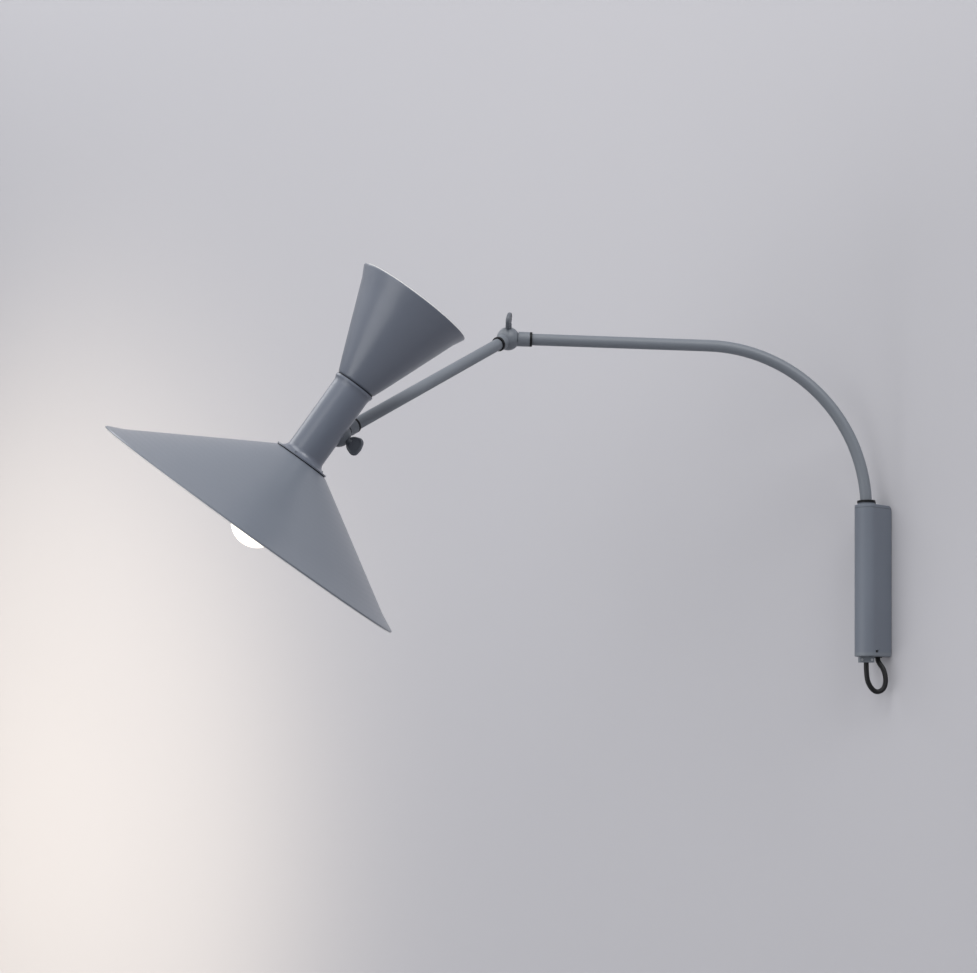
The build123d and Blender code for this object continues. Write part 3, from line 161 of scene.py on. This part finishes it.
# ---- Materials ---------------------------------------------------------------------
class Num:
    """A value in a material. Arithmetic on it adds Math nodes."""

    def __init__(self, finish, socket):
        self.finish = finish
        self.socket = socket

    def _math(self, operation, first, second):
        made = self.finish.node("ShaderNodeMath", {"operation": operation}, (first, second))
        return Num(self.finish, made.outputs[0])

    def __add__(self, other):
        return self._math("ADD", self, other)

    __radd__ = __add__

    def __sub__(self, other):
        return self._math("SUBTRACT", self, other)

    def __rsub__(self, other):
        return self._math("SUBTRACT", other, self)

    def __mul__(self, other):
        return self._math("MULTIPLY", self, other)

    __rmul__ = __mul__

    def __truediv__(self, other):
        return self._math("DIVIDE", self, other)

    def absolute(self):
        return self._math("ABSOLUTE", self, 0.0)


class Finish:
    """A material under construction round one Principled shader."""

    def __init__(self, name, **uniform):
        self.material = bpy.data.materials.new(name)
        self.material.use_nodes = True
        self.tree = self.material.node_tree
        self.shader = self.tree.nodes["Principled BSDF"]
        for socket, value in uniform.items():
            self.shader.inputs[socket.replace("_", " ")].default_value = value
        self.place = self.node("ShaderNodeTexCoord").outputs["Object"]

    def node(self, kind, settings=None, inputs=()):
        """Adds a node, sets it up and then gives its sockets their values or links."""
        made = self.tree.nodes.new(kind)
        for key, value in (settings or {}).items():
            setattr(made, key, value)
        pairs = inputs.items() if isinstance(inputs, dict) else enumerate(inputs)
        for key, value in pairs:
            self.feed(made.inputs[key], value)
        return made

    def feed(self, socket, value):
        if isinstance(value, Num):
            value = value.socket
        if isinstance(value, bpy.types.NodeSocket):
            self.tree.links.new(value, socket)
        else:
            socket.default_value = value

    def noise(self, scale, detail=2.0, place=None):
        made = self.node(
            "ShaderNodeTexNoise",
            inputs={"Vector": place or self.place, "Scale": scale, "Detail": detail},
        )
        return Num(self, made.outputs["Fac"])

    def blend(self, factor, first, second):
        """A colour between two others."""
        made = self.node("ShaderNodeMix", {"data_type": "RGBA"})
        self.feed(made.inputs[0], factor)
        self.feed(made.inputs[6], first)
        self.feed(made.inputs[7], second)
        return made.outputs[2]

    def limit(self, value):
        """Keeps a value between 0 and 1."""
        made = self.node("ShaderNodeClamp", inputs={"Value": value})
        return Num(self, made.outputs[0])

    def bump(self, height, strength, distance):
        made = self.node(
            "ShaderNodeBump", inputs={"Height": height, "Strength": strength, "Distance": distance}
        )
        self.feed(self.shader.inputs["Normal"], made.outputs["Normal"])

    def set(self, **links):
        for socket, value in links.items():
            self.feed(self.shader.inputs[socket.replace("_", " ")], value)


def tone(rgb, factor):
    return (*(min(1.0, c * factor) for c in rgb), 1.0)


def lacquer(name, rgb):
    """Satin lacquer: faint mottling, a fine orange peel and a little uneven gloss."""
    finish = Finish(name, IOR=1.48)
    cloud = finish.noise(14.0, 3.0)
    speck = finish.noise(900.0, 1.0)
    finish.set(
        Base_Color=finish.blend(cloud, tone(rgb, 0.93), tone(rgb, 1.07)),
        Roughness=0.40 + cloud * 0.10 + speck * 0.04,
    )
    finish.bump(speck, 0.10, 0.00005)
    return finish.material


def housing_lacquer_with_shadow(name, rgb):
    """Satin lacquer with the shadow line of the end cap round the housing's top."""
    finish = Finish(name, IOR=1.48)
    cloud = finish.noise(14.0, 3.0)
    speck = finish.noise(900.0, 1.0)
    height = Num(finish, finish.node("ShaderNodeSeparateXYZ", inputs=(finish.place,)).outputs[2])
    # Painted shadow: a dark line along the end cap's seam, where shade falls in the gap, over a real groove in the
    # bump.
    seam_shadow = finish.limit(1.0 - (height - HOUSING_SEAM).absolute() / SEAM_SHADOW_HALF_WIDTH)
    paint = finish.blend(cloud, tone(rgb, 0.93), tone(rgb, 1.07))
    finish.set(
        Base_Color=finish.blend(seam_shadow, paint, tone(rgb, 0.35)),
        Roughness=0.40 + cloud * 0.10 + speck * 0.04,
    )
    finish.bump(speck * 0.1 - seam_shadow * 6.0, 0.5, 0.0001)
    return finish.material


def spun_lacquer(name, rgb):
    """Lacquer over spun metal: faint rings about the head's axis under the orange peel."""
    finish = Finish(name, IOR=1.48, Coat_Weight=0.5, Coat_Roughness=0.22)
    head = head_frame()
    centred = finish.node(
        "ShaderNodeMapping",
        {"vector_type": "TEXTURE"},
        {"Vector": finish.place, "Location": head.translation, "Rotation": head.to_euler()},
    ).outputs[0]
    rings = finish.node(
        "ShaderNodeTexWave",
        {"wave_type": "RINGS", "rings_direction": "Z"},
        {"Vector": centred, "Scale": 55.0, "Distortion": 1.2, "Detail": 2.0, "Detail Scale": 2.0},
    )
    lines = Num(finish, rings.outputs["Fac"])
    cloud = finish.noise(7.0, 3.0, centred)
    speck = finish.noise(900.0, 1.0)
    finish.set(
        Base_Color=finish.blend(cloud, tone(rgb, 0.94), tone(rgb, 1.06)),
        Roughness=0.38 + cloud * 0.10 + lines * 0.02,
    )
    finish.bump(lines * 0.08 + speck * 0.4, 0.12, 0.00006)
    return finish.material


def matt(name, rgb, roughness, grain, gloss=0.5, mottle=0.15):
    """Moulded nylon, rubber or ceramic with a fine grain."""
    finish = Finish(name, Specular_IOR_Level=gloss)
    cloud = finish.noise(40.0, 3.0)
    grains = finish.noise(grain, 2.0)
    finish.set(
        Base_Color=finish.blend(cloud, tone(rgb, 1.0 - mottle), tone(rgb, 1.0 + mottle)),
        Roughness=roughness + grains * 0.12,
    )
    finish.bump(grains, 0.15, 0.00005)
    return finish.material


def metal(name, rgb, roughness):
    """Plated or machined metal with turning marks and slight staining."""
    finish = Finish(name, Metallic=1.0)
    stain = finish.noise(120.0, 4.0)
    marks = finish.noise(1500.0, 1.0)
    finish.set(
        Base_Color=finish.blend(stain, tone(rgb, 0.8), tone(rgb, 1.1)),
        Roughness=roughness + stain * 0.15,
    )
    finish.bump(marks, 0.12, 0.00003)
    return finish.material


def opal(name, rgb, glow=None, strength=0.0):
    """Opal glass, lit from inside where it has a glow."""
    finish = Finish(name, Coat_Weight=0.6, Coat_Roughness=0.05)
    cloud = finish.noise(30.0, 2.0)
    finish.set(
        Base_Color=finish.blend(cloud, tone(rgb, 0.97), tone(rgb, 1.0)),
        Roughness=0.22 + cloud * 0.08,
    )
    if glow:
        finish.set(Emission_Color=finish.blend(cloud, tone(glow, 0.97), tone(glow, 1.0)))
        finish.shader.inputs["Emission Strength"].default_value = strength
    return finish.material


def sheath(name, rgb):
    """The cord's smooth sheath."""
    finish = Finish(name, Specular_IOR_Level=0.25)
    cloud = finish.noise(60.0, 3.0)
    scuffs = finish.noise(700.0, 2.0)
    finish.set(
        Base_Color=finish.blend(cloud, tone(rgb, 0.8), tone(rgb, 1.5)),
        Roughness=0.38 + scuffs * 0.14,
    )
    finish.bump(scuffs, 0.12, 0.00006)
    return finish.material


def make_finish(slot):
    """The material for one of the record's slots."""
    tints = colours()
    makers = {
        "grey_paint": lambda: lacquer("grey_lacquer", tints.paint),
        "clamp_paint": lambda: lacquer("clamp_lacquer", tints.paint),
        "wing_paint_shaded": lambda: lacquer("wing_lacquer_shaded", tints.wing),
        # painted shade: the housing's darker lacquer, with a painted shadow line at the cap
        "housing_paint_shaded": lambda: housing_lacquer_with_shadow("housing_lacquer_with_shadow", tints.housing),
        "shade_paint": lambda: spun_lacquer("shade_lacquer", tints.shade),
        # painted shade: a darker copy of the shade's lacquer
        "cone_paint_shaded": lambda: spun_lacquer("cone_lacquer_shaded", tints.cone),
        "zinc_steel": lambda: metal("zinc_plate", tints.steel, 0.30),
        "black_nylon": lambda: matt("black_nylon", tints.nylon, 0.42, 800.0, 0.2),
        "black_rubber": lambda: matt("black_rubber", tints.nylon, 0.58, 1100.0, 0.2),
        "black_cord": lambda: sheath("cord_sheath", tints.cord),
        "white_plastic": lambda: matt("white_plastic", tints.ceramic, 0.40, 900.0, mottle=0.04),
        "white_ceramic": lambda: matt("glazed_ceramic", tints.ceramic, 0.18, 300.0, mottle=0.04),
        "bare_aluminium": lambda: metal("machined_aluminium", tints.steel, 0.25),
        "opal_glass": lambda: opal("opal_glass", tints.glass),
        "nickel_cap": lambda: metal("nickel_plate", tints.nickel, 0.20),
        "lining": lambda: matt("shade_lining", tints.lining, 0.45, 500.0, mottle=0.015),
        "glow": lambda: opal("lit_opal_glass", tints.glass, tints.glow, GLOW_STRENGTH),
    }
    return makers[slot]()


FINISHES = {}


def finish(slot):
    if slot not in FINISHES:
        FINISHES[slot] = make_finish(slot)
    return FINISHES[slot]


# ---- Modelling ---------------------------------------------------------------------
def turn(name, sections, sides):
    """Draws a loop and extrudes it through sections: half width, half depth and height."""
    bpy.ops.object.select_all(action="DESELECT")
    wide, deep, height = sections[0]
    bpy.ops.mesh.primitive_circle_add(vertices=sides, radius=1.0, location=(0, 0, 0))
    piece = bpy.context.object
    piece.name = name
    piece.data.name = name
    bpy.ops.object.mode_set(mode="EDIT")
    bpy.ops.mesh.select_mode(type="VERT")
    bpy.ops.mesh.select_all(action="SELECT")
    bpy.ops.transform.resize(value=(wide, deep, 1.0))
    bpy.ops.transform.translate(value=(0, 0, height))
    for next_wide, next_deep, next_height in sections[1:]:
        step = (0, 0, next_height - height)
        bpy.ops.mesh.extrude_region_move(TRANSFORM_OT_translate={"value": step})
        scale = (next_wide / wide, next_deep / deep, 1.0)
        bpy.ops.transform.resize(value=scale, center_override=(0, 0, next_height))
        wide, deep, height = next_wide, next_deep, next_height
    return piece


def close_mesh(piece):
    """Merges doubles, turns the faces outwards and leaves edit mode."""
    bpy.ops.mesh.select_all(action="SELECT")
    bpy.ops.mesh.remove_doubles(threshold=0.00001)
    bpy.ops.mesh.normals_make_consistent(inside=False)
    bpy.ops.object.mode_set(mode="OBJECT")
    return piece


def put(piece, matrix, body, slot, *nodes):
    """Places a piece, leaves its place in its mesh, and says what it rides on."""
    bpy.ops.object.select_all(action="DESELECT")
    piece.select_set(True)
    bpy.context.view_layer.objects.active = piece
    piece.matrix_world = matrix
    bpy.ops.object.transform_apply(location=True, rotation=True, scale=True)
    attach(piece, body)
    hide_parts(*nodes)
    return piece


def apply_modifiers(piece):
    bpy.context.view_layer.objects.active = piece
    for modifier in list(piece.modifiers):
        bpy.ops.object.modifier_apply(modifier=modifier.name)


def smooth(piece, degrees):
    bpy.ops.object.select_all(action="DESELECT")
    piece.select_set(True)
    bpy.context.view_layer.objects.active = piece
    bpy.ops.object.shade_smooth_by_angle(angle=math.radians(degrees))


def round_sections(profile):
    """Round sections from pairs of radius and height."""
    return [(radius, radius, height) for radius, height in profile]


# ---- Shades ------------------------------------------------------------------------
def shade_profile(hole, crown, rim, top, height, wall, bead):
    """A closed outline: along the outside to the beaded rim and back along the inside.

    Height is negative for a shade that opens downwards.
    """
    way = 1.0 if height > 0 else -1.0
    slope = (rim - crown) / abs(height)
    length = math.hypot(1.0, slope)
    thick = wall * length
    low = top + height
    corner = 1.2 * wall
    rise = corner / slope
    outside = [
        (hole, top),
        (crown - corner, top),
        (crown - corner * 0.25, top + way * rise * 0.12),
        (crown + corner * 0.45, top + way * rise * 0.62),
    ]
    steps = 8
    for n in range(1, steps):
        share = n / steps
        outside.append((crown + (rim - crown) * share, top + height * share))
    centre = (rim - thick / 2, low - way * bead)
    bead_points = []
    for n in range(9):
        angle = math.radians(-35 + n * 31)
        bead_points.append(
            (centre[0] + bead * math.cos(angle), centre[1] + way * bead * math.sin(angle))
        )
    inside = []
    for n in range(steps - 1, 0, -1):
        share = n / steps
        inside.append((crown + (rim - crown) * share - thick, top + height * share))
    inside += [
        (crown + wall * slope - thick + corner * 0.4, top + way * (wall + rise * 0.4)),
        (crown + wall * slope - thick - corner * 0.6, top + way * wall),
        (hole, top + way * wall),
        (hole, top),
    ]
    return outside + bead_points + inside


def line_inside(piece, way, paint):
    """Paints the shade and gives its inside and its bead's edge the lining's material."""
    piece.data.materials.append(finish(paint))
    piece.data.materials.append(finish("lining"))
    for face in piece.data.polygons:
        centre, normal = face.center, face.normal
        outward = centre.x * normal.x + centre.y * normal.y
        if outward < 0 or normal.z * way > 0.3:
            face.material_index = 1


class LAMP_OT_shades(bpy.types.Operator):
    """Spins both shades with a rolled rim and a white lining"""

    bl_idname = "lamp.shades"
    bl_label = "Shades"

    def execute(self, context):
        s = sizes()
        lower = shade_profile(
            s.shade_hole, s.shade_crown, s.shade_rim, s.shade_top, -s.shade_height, s.wall, s.bead
        )
        upper = shade_profile(
            s.cone_hole, s.cone_base, s.cone_rim, s.cone_low, s.cone_height, s.wall, s.bead
        )
        head = head_frame()
        for name, profile, way, node, sides, paint in (
            ("lower_shade_spun", lower, -1, "lower_shade", 192, "shade_paint"),
            ("upper_shade_spun", upper, 1, "upper_shade", 128, "cone_paint_shaded"),
        ):
            piece = close_mesh(turn(name, round_sections(profile), sides))
            line_inside(piece, way, paint)
            put(piece, head, "head", "shade_paint", node)
            smooth(piece, 40)
        return {"FINISHED"}


# ---- Bulbs -------------------------------------------------------------------------
BULBS = (  # name, node, finish, and its tip, radius, collar and neck radius in mm, and its way
    ("lower_bulb", "lower_bulb_glass", "glow", (-94.5, 24.0, -16.0, 14.0), 1),
    ("upper_bulb", "upper_bulb_glass", "opal_glass", (144.3, 22.5, 92.3, 9.0), -1),
)
BULB_SIDES = 64


def bulb_profile(tip, radius, collar, neck, way):
    """From the bulb's tip round its crown and down its taper to the collar."""
    centre = tip + way * radius
    points = []
    for degrees in range(2, 116, 6):
        angle = math.radians(degrees)
        points.append((radius * math.sin(angle), centre - way * radius * math.cos(angle)))
    last_radius, last_height = points[-1]
    for n in range(1, 9):
        share = n / 8
        ease = share * share * (3 - 2 * share)
        points.append(
            (
                last_radius + (neck - last_radius) * (0.35 * share + 0.65 * ease),
                last_height + (collar - last_height) * share,
            )
        )
    points.append((neck * 0.5, collar))
    return points


class LAMP_OT_bulbs(bpy.types.Operator):
    """Blows both bulbs' opal glass"""

    bl_idname = "lamp.bulbs"
    bl_label = "Bulbs"

    def execute(self, context):
        head = head_frame()
        for name, node, slot, outline, way in BULBS:
            profile = bulb_profile(*(value * MM for value in outline), way)
            piece = turn(name, round_sections(profile), BULB_SIDES)
            bpy.ops.mesh.merge(type="CENTER")
            bpy.ops.mesh.select_all(action="DESELECT")
            bpy.ops.mesh.select_non_manifold()
            bpy.ops.mesh.edge_face_add()
            close_mesh(piece)
            piece.data.materials.append(finish(slot))
            put(piece, head, "head", "opal_glass", node)
            smooth(piece, 50)
        return {"FINISHED"}


# ---- Wing screws -------------------------------------------------------------------
WING_ROUNDS = (  # radius, place across and place along the screw of the head's rounds, mm
    (5.0, -3.9, 21.9),
    (5.0, 3.9, 21.9),
    (8.0, 0.0, 19.6),
    (3.2, 0.0, 15.0),
)
WING_THICKNESS = 4.0 * MM
WING_EDGE = 1.1 * MM  # rounding of its edges
WING_DISH = ((0.3, 0.0), (0.6, -0.5), (0.2, 0.0))  # inset and depth of each step, mm
WING_TURNS = (("elbow", 81.0), ("wrist", 60.0))  # degrees of each head about its screw
WING_STEM = (  # radius and distance from the ball's centre, mm
    (2.50, -9.5),
    (2.50, 11.3),
    (3.20, 11.5),
    (3.20, 16.5),
)


def wing_frame(hinge, roll, degrees):
    """The frame in which a wing screw's head lies flat: z along the screw."""
    screw = joint_axis(hinge)
    across = Quaternion(screw, math.radians(degrees)) @ -joint_axis(roll)
    return frame_of(joint_place(hinge), across, screw)


class LAMP_OT_wing_screws(bpy.types.Operator):
    """Casts both wing screws with dished, rimmed heads"""

    bl_idname = "lamp.wing_screws"
    bl_label = "Wing screws"

    def execute(self, context):
        for name, degrees in WING_TURNS:
            head = self.cast_head(f"{name}_wing")
            stem = self.turn_stem()
            union = head.modifiers.new("stem", "BOOLEAN")
            union.operation = "UNION"
            union.object = stem
            apply_modifiers(head)
            bpy.data.objects.remove(stem)
            head.data.materials.clear()
            # the darker lacquer is painted shade
            head.data.materials.append(finish("wing_paint_shaded"))
            matrix = wing_frame(f"{name}_hinge", f"{name}_roll", degrees)
            put(head, matrix, f"{name}_screw", "grey_paint", f"{name}_wing_screw")
            smooth(head, 35)
        return {"FINISHED"}

    def cast_head(self, name):
        """Hulls the two ears, the crown and the root, then rounds and dishes the casting."""
        bpy.ops.object.select_all(action="DESELECT")
        rounds = []
        for radius, across, along in WING_ROUNDS:
            bpy.ops.mesh.primitive_cylinder_add(
                vertices=64,
                radius=radius * MM,
                depth=WING_THICKNESS,
                location=(across * MM, 0, along * MM),
                rotation=(math.radians(90), 0, 0),
            )
            rounds.append(bpy.context.object)
        for piece in rounds:
            piece.select_set(True)
        bpy.ops.object.join()
        bpy.ops.object.transform_apply(location=True, rotation=True, scale=True)
        piece = bpy.context.object
        piece.name = name
        piece.data.name = name
        bpy.ops.object.mode_set(mode="EDIT")
        bpy.ops.mesh.select_mode(type="EDGE")
        bpy.ops.mesh.select_all(action="SELECT")
        bpy.ops.mesh.convex_hull()
        bpy.ops.mesh.dissolve_limited(angle_limit=math.radians(1))
        bpy.ops.mesh.select_all(action="DESELECT")
        bpy.ops.mesh.edges_select_sharp(sharpness=math.radians(60))
        bpy.ops.mesh.bevel(offset=WING_EDGE, segments=4)
        bpy.ops.mesh.select_mode(type="FACE")
        for side in (-1, 1):
            bpy.ops.mesh.select_all(action="DESELECT")
            bpy.ops.object.mode_set(mode="OBJECT")
            for face in piece.data.polygons:
                face.select = face.normal.y * side > 0.999
            bpy.ops.object.mode_set(mode="EDIT")
            for inset, depth in WING_DISH:
                bpy.ops.mesh.inset(thickness=inset * MM, depth=depth * MM)
        return close_mesh(piece)

    def turn_stem(self):
        """The screw's shank and the shoulder that bears on the ball."""
        stem = turn("stem", [(r * MM, r * MM, h * MM) for r, h in WING_STEM], 40)
        bpy.ops.mesh.edge_face_add()
        bpy.ops.mesh.select_all(action="DESELECT")
        bpy.ops.mesh.select_non_manifold()
        bpy.ops.mesh.edge_face_add()
        return close_mesh(stem)


# ---- Cord --------------------------------------------------------------------------
LOOP_ROUTE = (  # mm, from the clamp under the post to the grommet in the bottom cap
    (0.0, -27.5, -85.1),
    (0.0, -27.5, -95.5),
    (1.0, -25.6, -107.5),
    (5.0, -18.6, -116.6),
    (10.4, -11.6, -113.6),
    (11.4, -8.6, -103.5),
    (8.6, -8.6, -92.5),
    (3.6, -10.0, -85.5),
    (2.0, -10.5, -82.5),
    (2.0, -10.5, -79.8),
)


class LAMP_OT_cord_loop(bpy.types.Operator):
    """Hangs the short loop of cord between the post and the bracket"""

    bl_idname = "lamp.cord_loop"
    bl_label = "Cord loop"

    def execute(self, context):
        curve = bpy.data.curves.new("cord_loop_line", "CURVE")
        curve.dimensions = "3D"
        curve.bevel_depth = sizes().cord / 2
        curve.bevel_resolution = 8
        curve.resolution_u = 16
        curve.use_fill_caps = True
        spline = curve.splines.new("NURBS")
        spline.points.add(len(LOOP_ROUTE) - 1)
        for point, place in zip(spline.points, LOOP_ROUTE):
            point.co = (*(c * MM for c in place), 1.0)
        spline.order_u = 3
        spline.use_endpoint_u = True
        cord = bpy.data.objects.new("loop_of_cord", curve)
        context.scene.collection.objects.link(cord)
        curve.materials.append(finish("black_cord"))
        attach(cord, "bracket")
        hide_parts("cord_loop")
        return {"FINISHED"}


# ---- Finishes of the metal pieces --------------------------------------------------
SEEN_FINISHES = {  # where the photograph shows another finish than the record's slot; the housing's and the neck's are the paint made darker, which is painted shade
    "upper_bush": "black_nylon",
    "bracket_housing": "housing_paint_shaded",
    "neck": "cone_paint_shaded",
    "shade_screws": "shade_paint",
}


class LAMP_OT_finishes(bpy.types.Operator):
    """Gives every piece that keeps its construction shape its own finish"""

    bl_idname = "lamp.finishes"
    bl_label = "Finishes"

    def execute(self, context):
        for part in frame["record"]["subparts"]:
            node = frame["nodes"][part["node"]]
            slot = SEEN_FINISHES.get(part["node"], part["material_slot"])
            node.data.materials.clear()
            node.data.materials.append(finish(slot))
        return {"FINISHED"}


# ---- Stage -------------------------------------------------------------------------
QUARTER_TURN = math.radians(90)
BACKDROP_SIDE = 12.0
WALL_BACK = 0.0006  # behind the bracket's back face
FLOOR_HEIGHT = -1.6
LIGHTS_AIM = (-0.2, -0.4, 0.1)
SOFT_LIGHTS = (  # name, place, side and power
    ("front", (-0.2, -3.0, 0.4), 2.0, 22.0),
    ("low_left", (-1.4, -2.6, -0.9), 1.6, 19.0),
    ("key_left", (-1.9, -2.2, 1.5), 1.6, 4.0),
    ("top", (0.0, -1.4, 2.2), 1.6, 26.0),
    ("top_left", (-2.0, -1.0, 1.8), 1.4, 15.0),
    ("top_right", (1.7, -0.7, 1.8), 1.4, 34.0),
)
POOL_PLACE = (-1.85, -1.2, -0.33)
POOL_POWER = 64.0
POOL_ANGLE = math.radians(88)
SKY = (0.93, 0.95, 1.0, 1.0)
SKY_STRENGTH = 0.35
PICTURE_WIDTH = 977.0  # pixels
PICTURE_HEIGHT = 973.0
FOCAL_LENGTH = 1900.0  # pixels
HORIZON = 740.0  # pixels below the picture's top
SENSOR_WIDTH = 36.0
CAMERA_PLACE = (1.2074, -1.6441, -0.1658)
CAMERA_TURN = math.radians(48.0)


def plain(name, rgb, one_sided):
    """A backdrop's matt paint; a one-sided backdrop isn't drawn from behind."""
    made = Finish(name, Roughness=0.9)
    cloud = made.noise(1.5, 2.0)
    made.set(Base_Color=made.blend(cloud, tone(rgb, 0.985), tone(rgb, 1.015)))
    if one_sided:
        behind = Num(made, made.node("ShaderNodeNewGeometry").outputs["Backfacing"])
        seen = Num(made, made.node("ShaderNodeLightPath").outputs["Is Camera Ray"])
        clear = made.node("ShaderNodeBsdfTransparent")
        mix = made.node("ShaderNodeMixShader")
        made.feed(mix.inputs[0], behind * seen)
        made.feed(mix.inputs[1], made.shader.outputs[0])
        made.feed(mix.inputs[2], clear.outputs[0])
        made.feed(made.tree.nodes["Material Output"].inputs["Surface"], mix.outputs[0])
    return made.material


def backdrop(name, location, rotation, material):
    bpy.ops.object.select_all(action="DESELECT")
    bpy.ops.mesh.primitive_plane_add(size=BACKDROP_SIDE, location=location, rotation=rotation)
    sheet = bpy.context.object
    sheet.name = name
    sheet.data.materials.append(material)


def add_light(name, kind, location, power, rotation):
    """Adds a lamp of a kind to the scene and gives its data to set up."""
    data = bpy.data.lights.new(name, kind)
    data.energy = power
    light = bpy.data.objects.new(name, data)
    bpy.context.scene.collection.objects.link(light)
    light.location = location
    light.rotation_euler = rotation
    return data


def soft_light(name, location, side, power):
    """A square lamp that looks at the middle of the part."""
    aim = Vector(LIGHTS_AIM) - Vector(location)
    data = add_light(name, "AREA", location, power, aim.to_track_quat("-Z", "Y").to_euler())
    data.shape = "SQUARE"
    data.size = side


def pool_light(rgb):
    """The warm pool of light that the lamp throws on the wall."""
    data = add_light("wall_glow", "SPOT", POOL_PLACE, POOL_POWER, (QUARTER_TURN, 0, 0))
    data.color = rgb
    data.spot_size = POOL_ANGLE
    data.spot_blend = 0.6
    data.shadow_soft_size = 0.2


def add_sky(scene):
    world = bpy.data.worlds.new("room")
    world.use_nodes = True
    background = world.node_tree.nodes["Background"]
    background.inputs["Color"].default_value = SKY
    background.inputs["Strength"].default_value = SKY_STRENGTH
    scene.world = world


def add_camera(scene):
    """The photograph's camera: level, with the picture cut from above the horizon."""
    data = bpy.data.cameras.new("camera")
    data.sensor_width = SENSOR_WIDTH
    data.lens = SENSOR_WIDTH * FOCAL_LENGTH / PICTURE_WIDTH
    data.shift_y = (HORIZON - PICTURE_HEIGHT / 2) / PICTURE_WIDTH
    data.clip_start = 0.05
    data.clip_end = 50.0
    camera = bpy.data.objects.new("camera", data)
    scene.collection.objects.link(camera)
    camera.location = CAMERA_PLACE
    camera.rotation_euler = (QUARTER_TURN, 0, CAMERA_TURN)
    scene.camera = camera


class LAMP_OT_stage(bpy.types.Operator):
    """Sets up the wall, the floor, the lights and the camera"""

    bl_idname = "lamp.stage"
    bl_label = "Stage"

    def execute(self, context):
        tints = colours()
        wall = plain("wall_paint", tints.wall, True)
        floor = plain("floor", tints.floor, False)
        backdrop("room_wall", (0, WALL_BACK, 0), (QUARTER_TURN, 0, 0), wall)
        backdrop("room_floor", (0, 0, FLOOR_HEIGHT), (0, 0, 0), floor)
        for name, location, side, power in SOFT_LIGHTS:
            soft_light(name, location, side, power)
        pool_light(tints.glow)
        add_sky(context.scene)
        add_camera(context.scene)
        context.scene.view_settings.view_transform = "Standard"
        return {"FINISHED"}


# ---- Panel and registration --------------------------------------------------------
OPERATORS = (
    LAMP_OT_stage,
    LAMP_OT_finishes,
    LAMP_OT_cord_loop,
    LAMP_OT_shades,
    LAMP_OT_bulbs,
    LAMP_OT_wing_screws,
)


class LAMP_PT_panel(bpy.types.Panel):
    """Lists the lamp's operators, sizes and colours"""

    bl_idname = "LAMP_PT_panel"
    bl_label = "Wall lamp"
    bl_space_type = "VIEW_3D"
    bl_region_type = "UI"
    bl_category = "Lamp"

    def draw(self, context):
        column = self.layout.column()
        for operator in OPERATORS:
            column.operator(operator.bl_idname)
        for group in (context.scene.lamp_sizes, context.scene.lamp_colours):
            for name in group.__annotations__:
                column.prop(group, name)


CLASSES = (LampSizes, LampColours, *OPERATORS, LAMP_PT_panel)


def register():
    for cls in CLASSES:
        bpy.utils.register_class(cls)
    bpy.types.Scene.lamp_sizes = bpy.props.PointerProperty(type=LampSizes)
    bpy.types.Scene.lamp_colours = bpy.props.PointerProperty(type=LampColours)


def unregister():
    del bpy.types.Scene.lamp_colours
    del bpy.types.Scene.lamp_sizes
    for cls in reversed(CLASSES):
        bpy.utils.unregister_class(cls)


def main():
    register()
    bpy.ops.lamp.stage()
    bpy.ops.lamp.finishes()
    bpy.ops.lamp.cord_loop()
    bpy.ops.lamp.shades()
    bpy.ops.lamp.bulbs()
    bpy.ops.lamp.wing_screws()


if __name__ == "__main__":
    main()
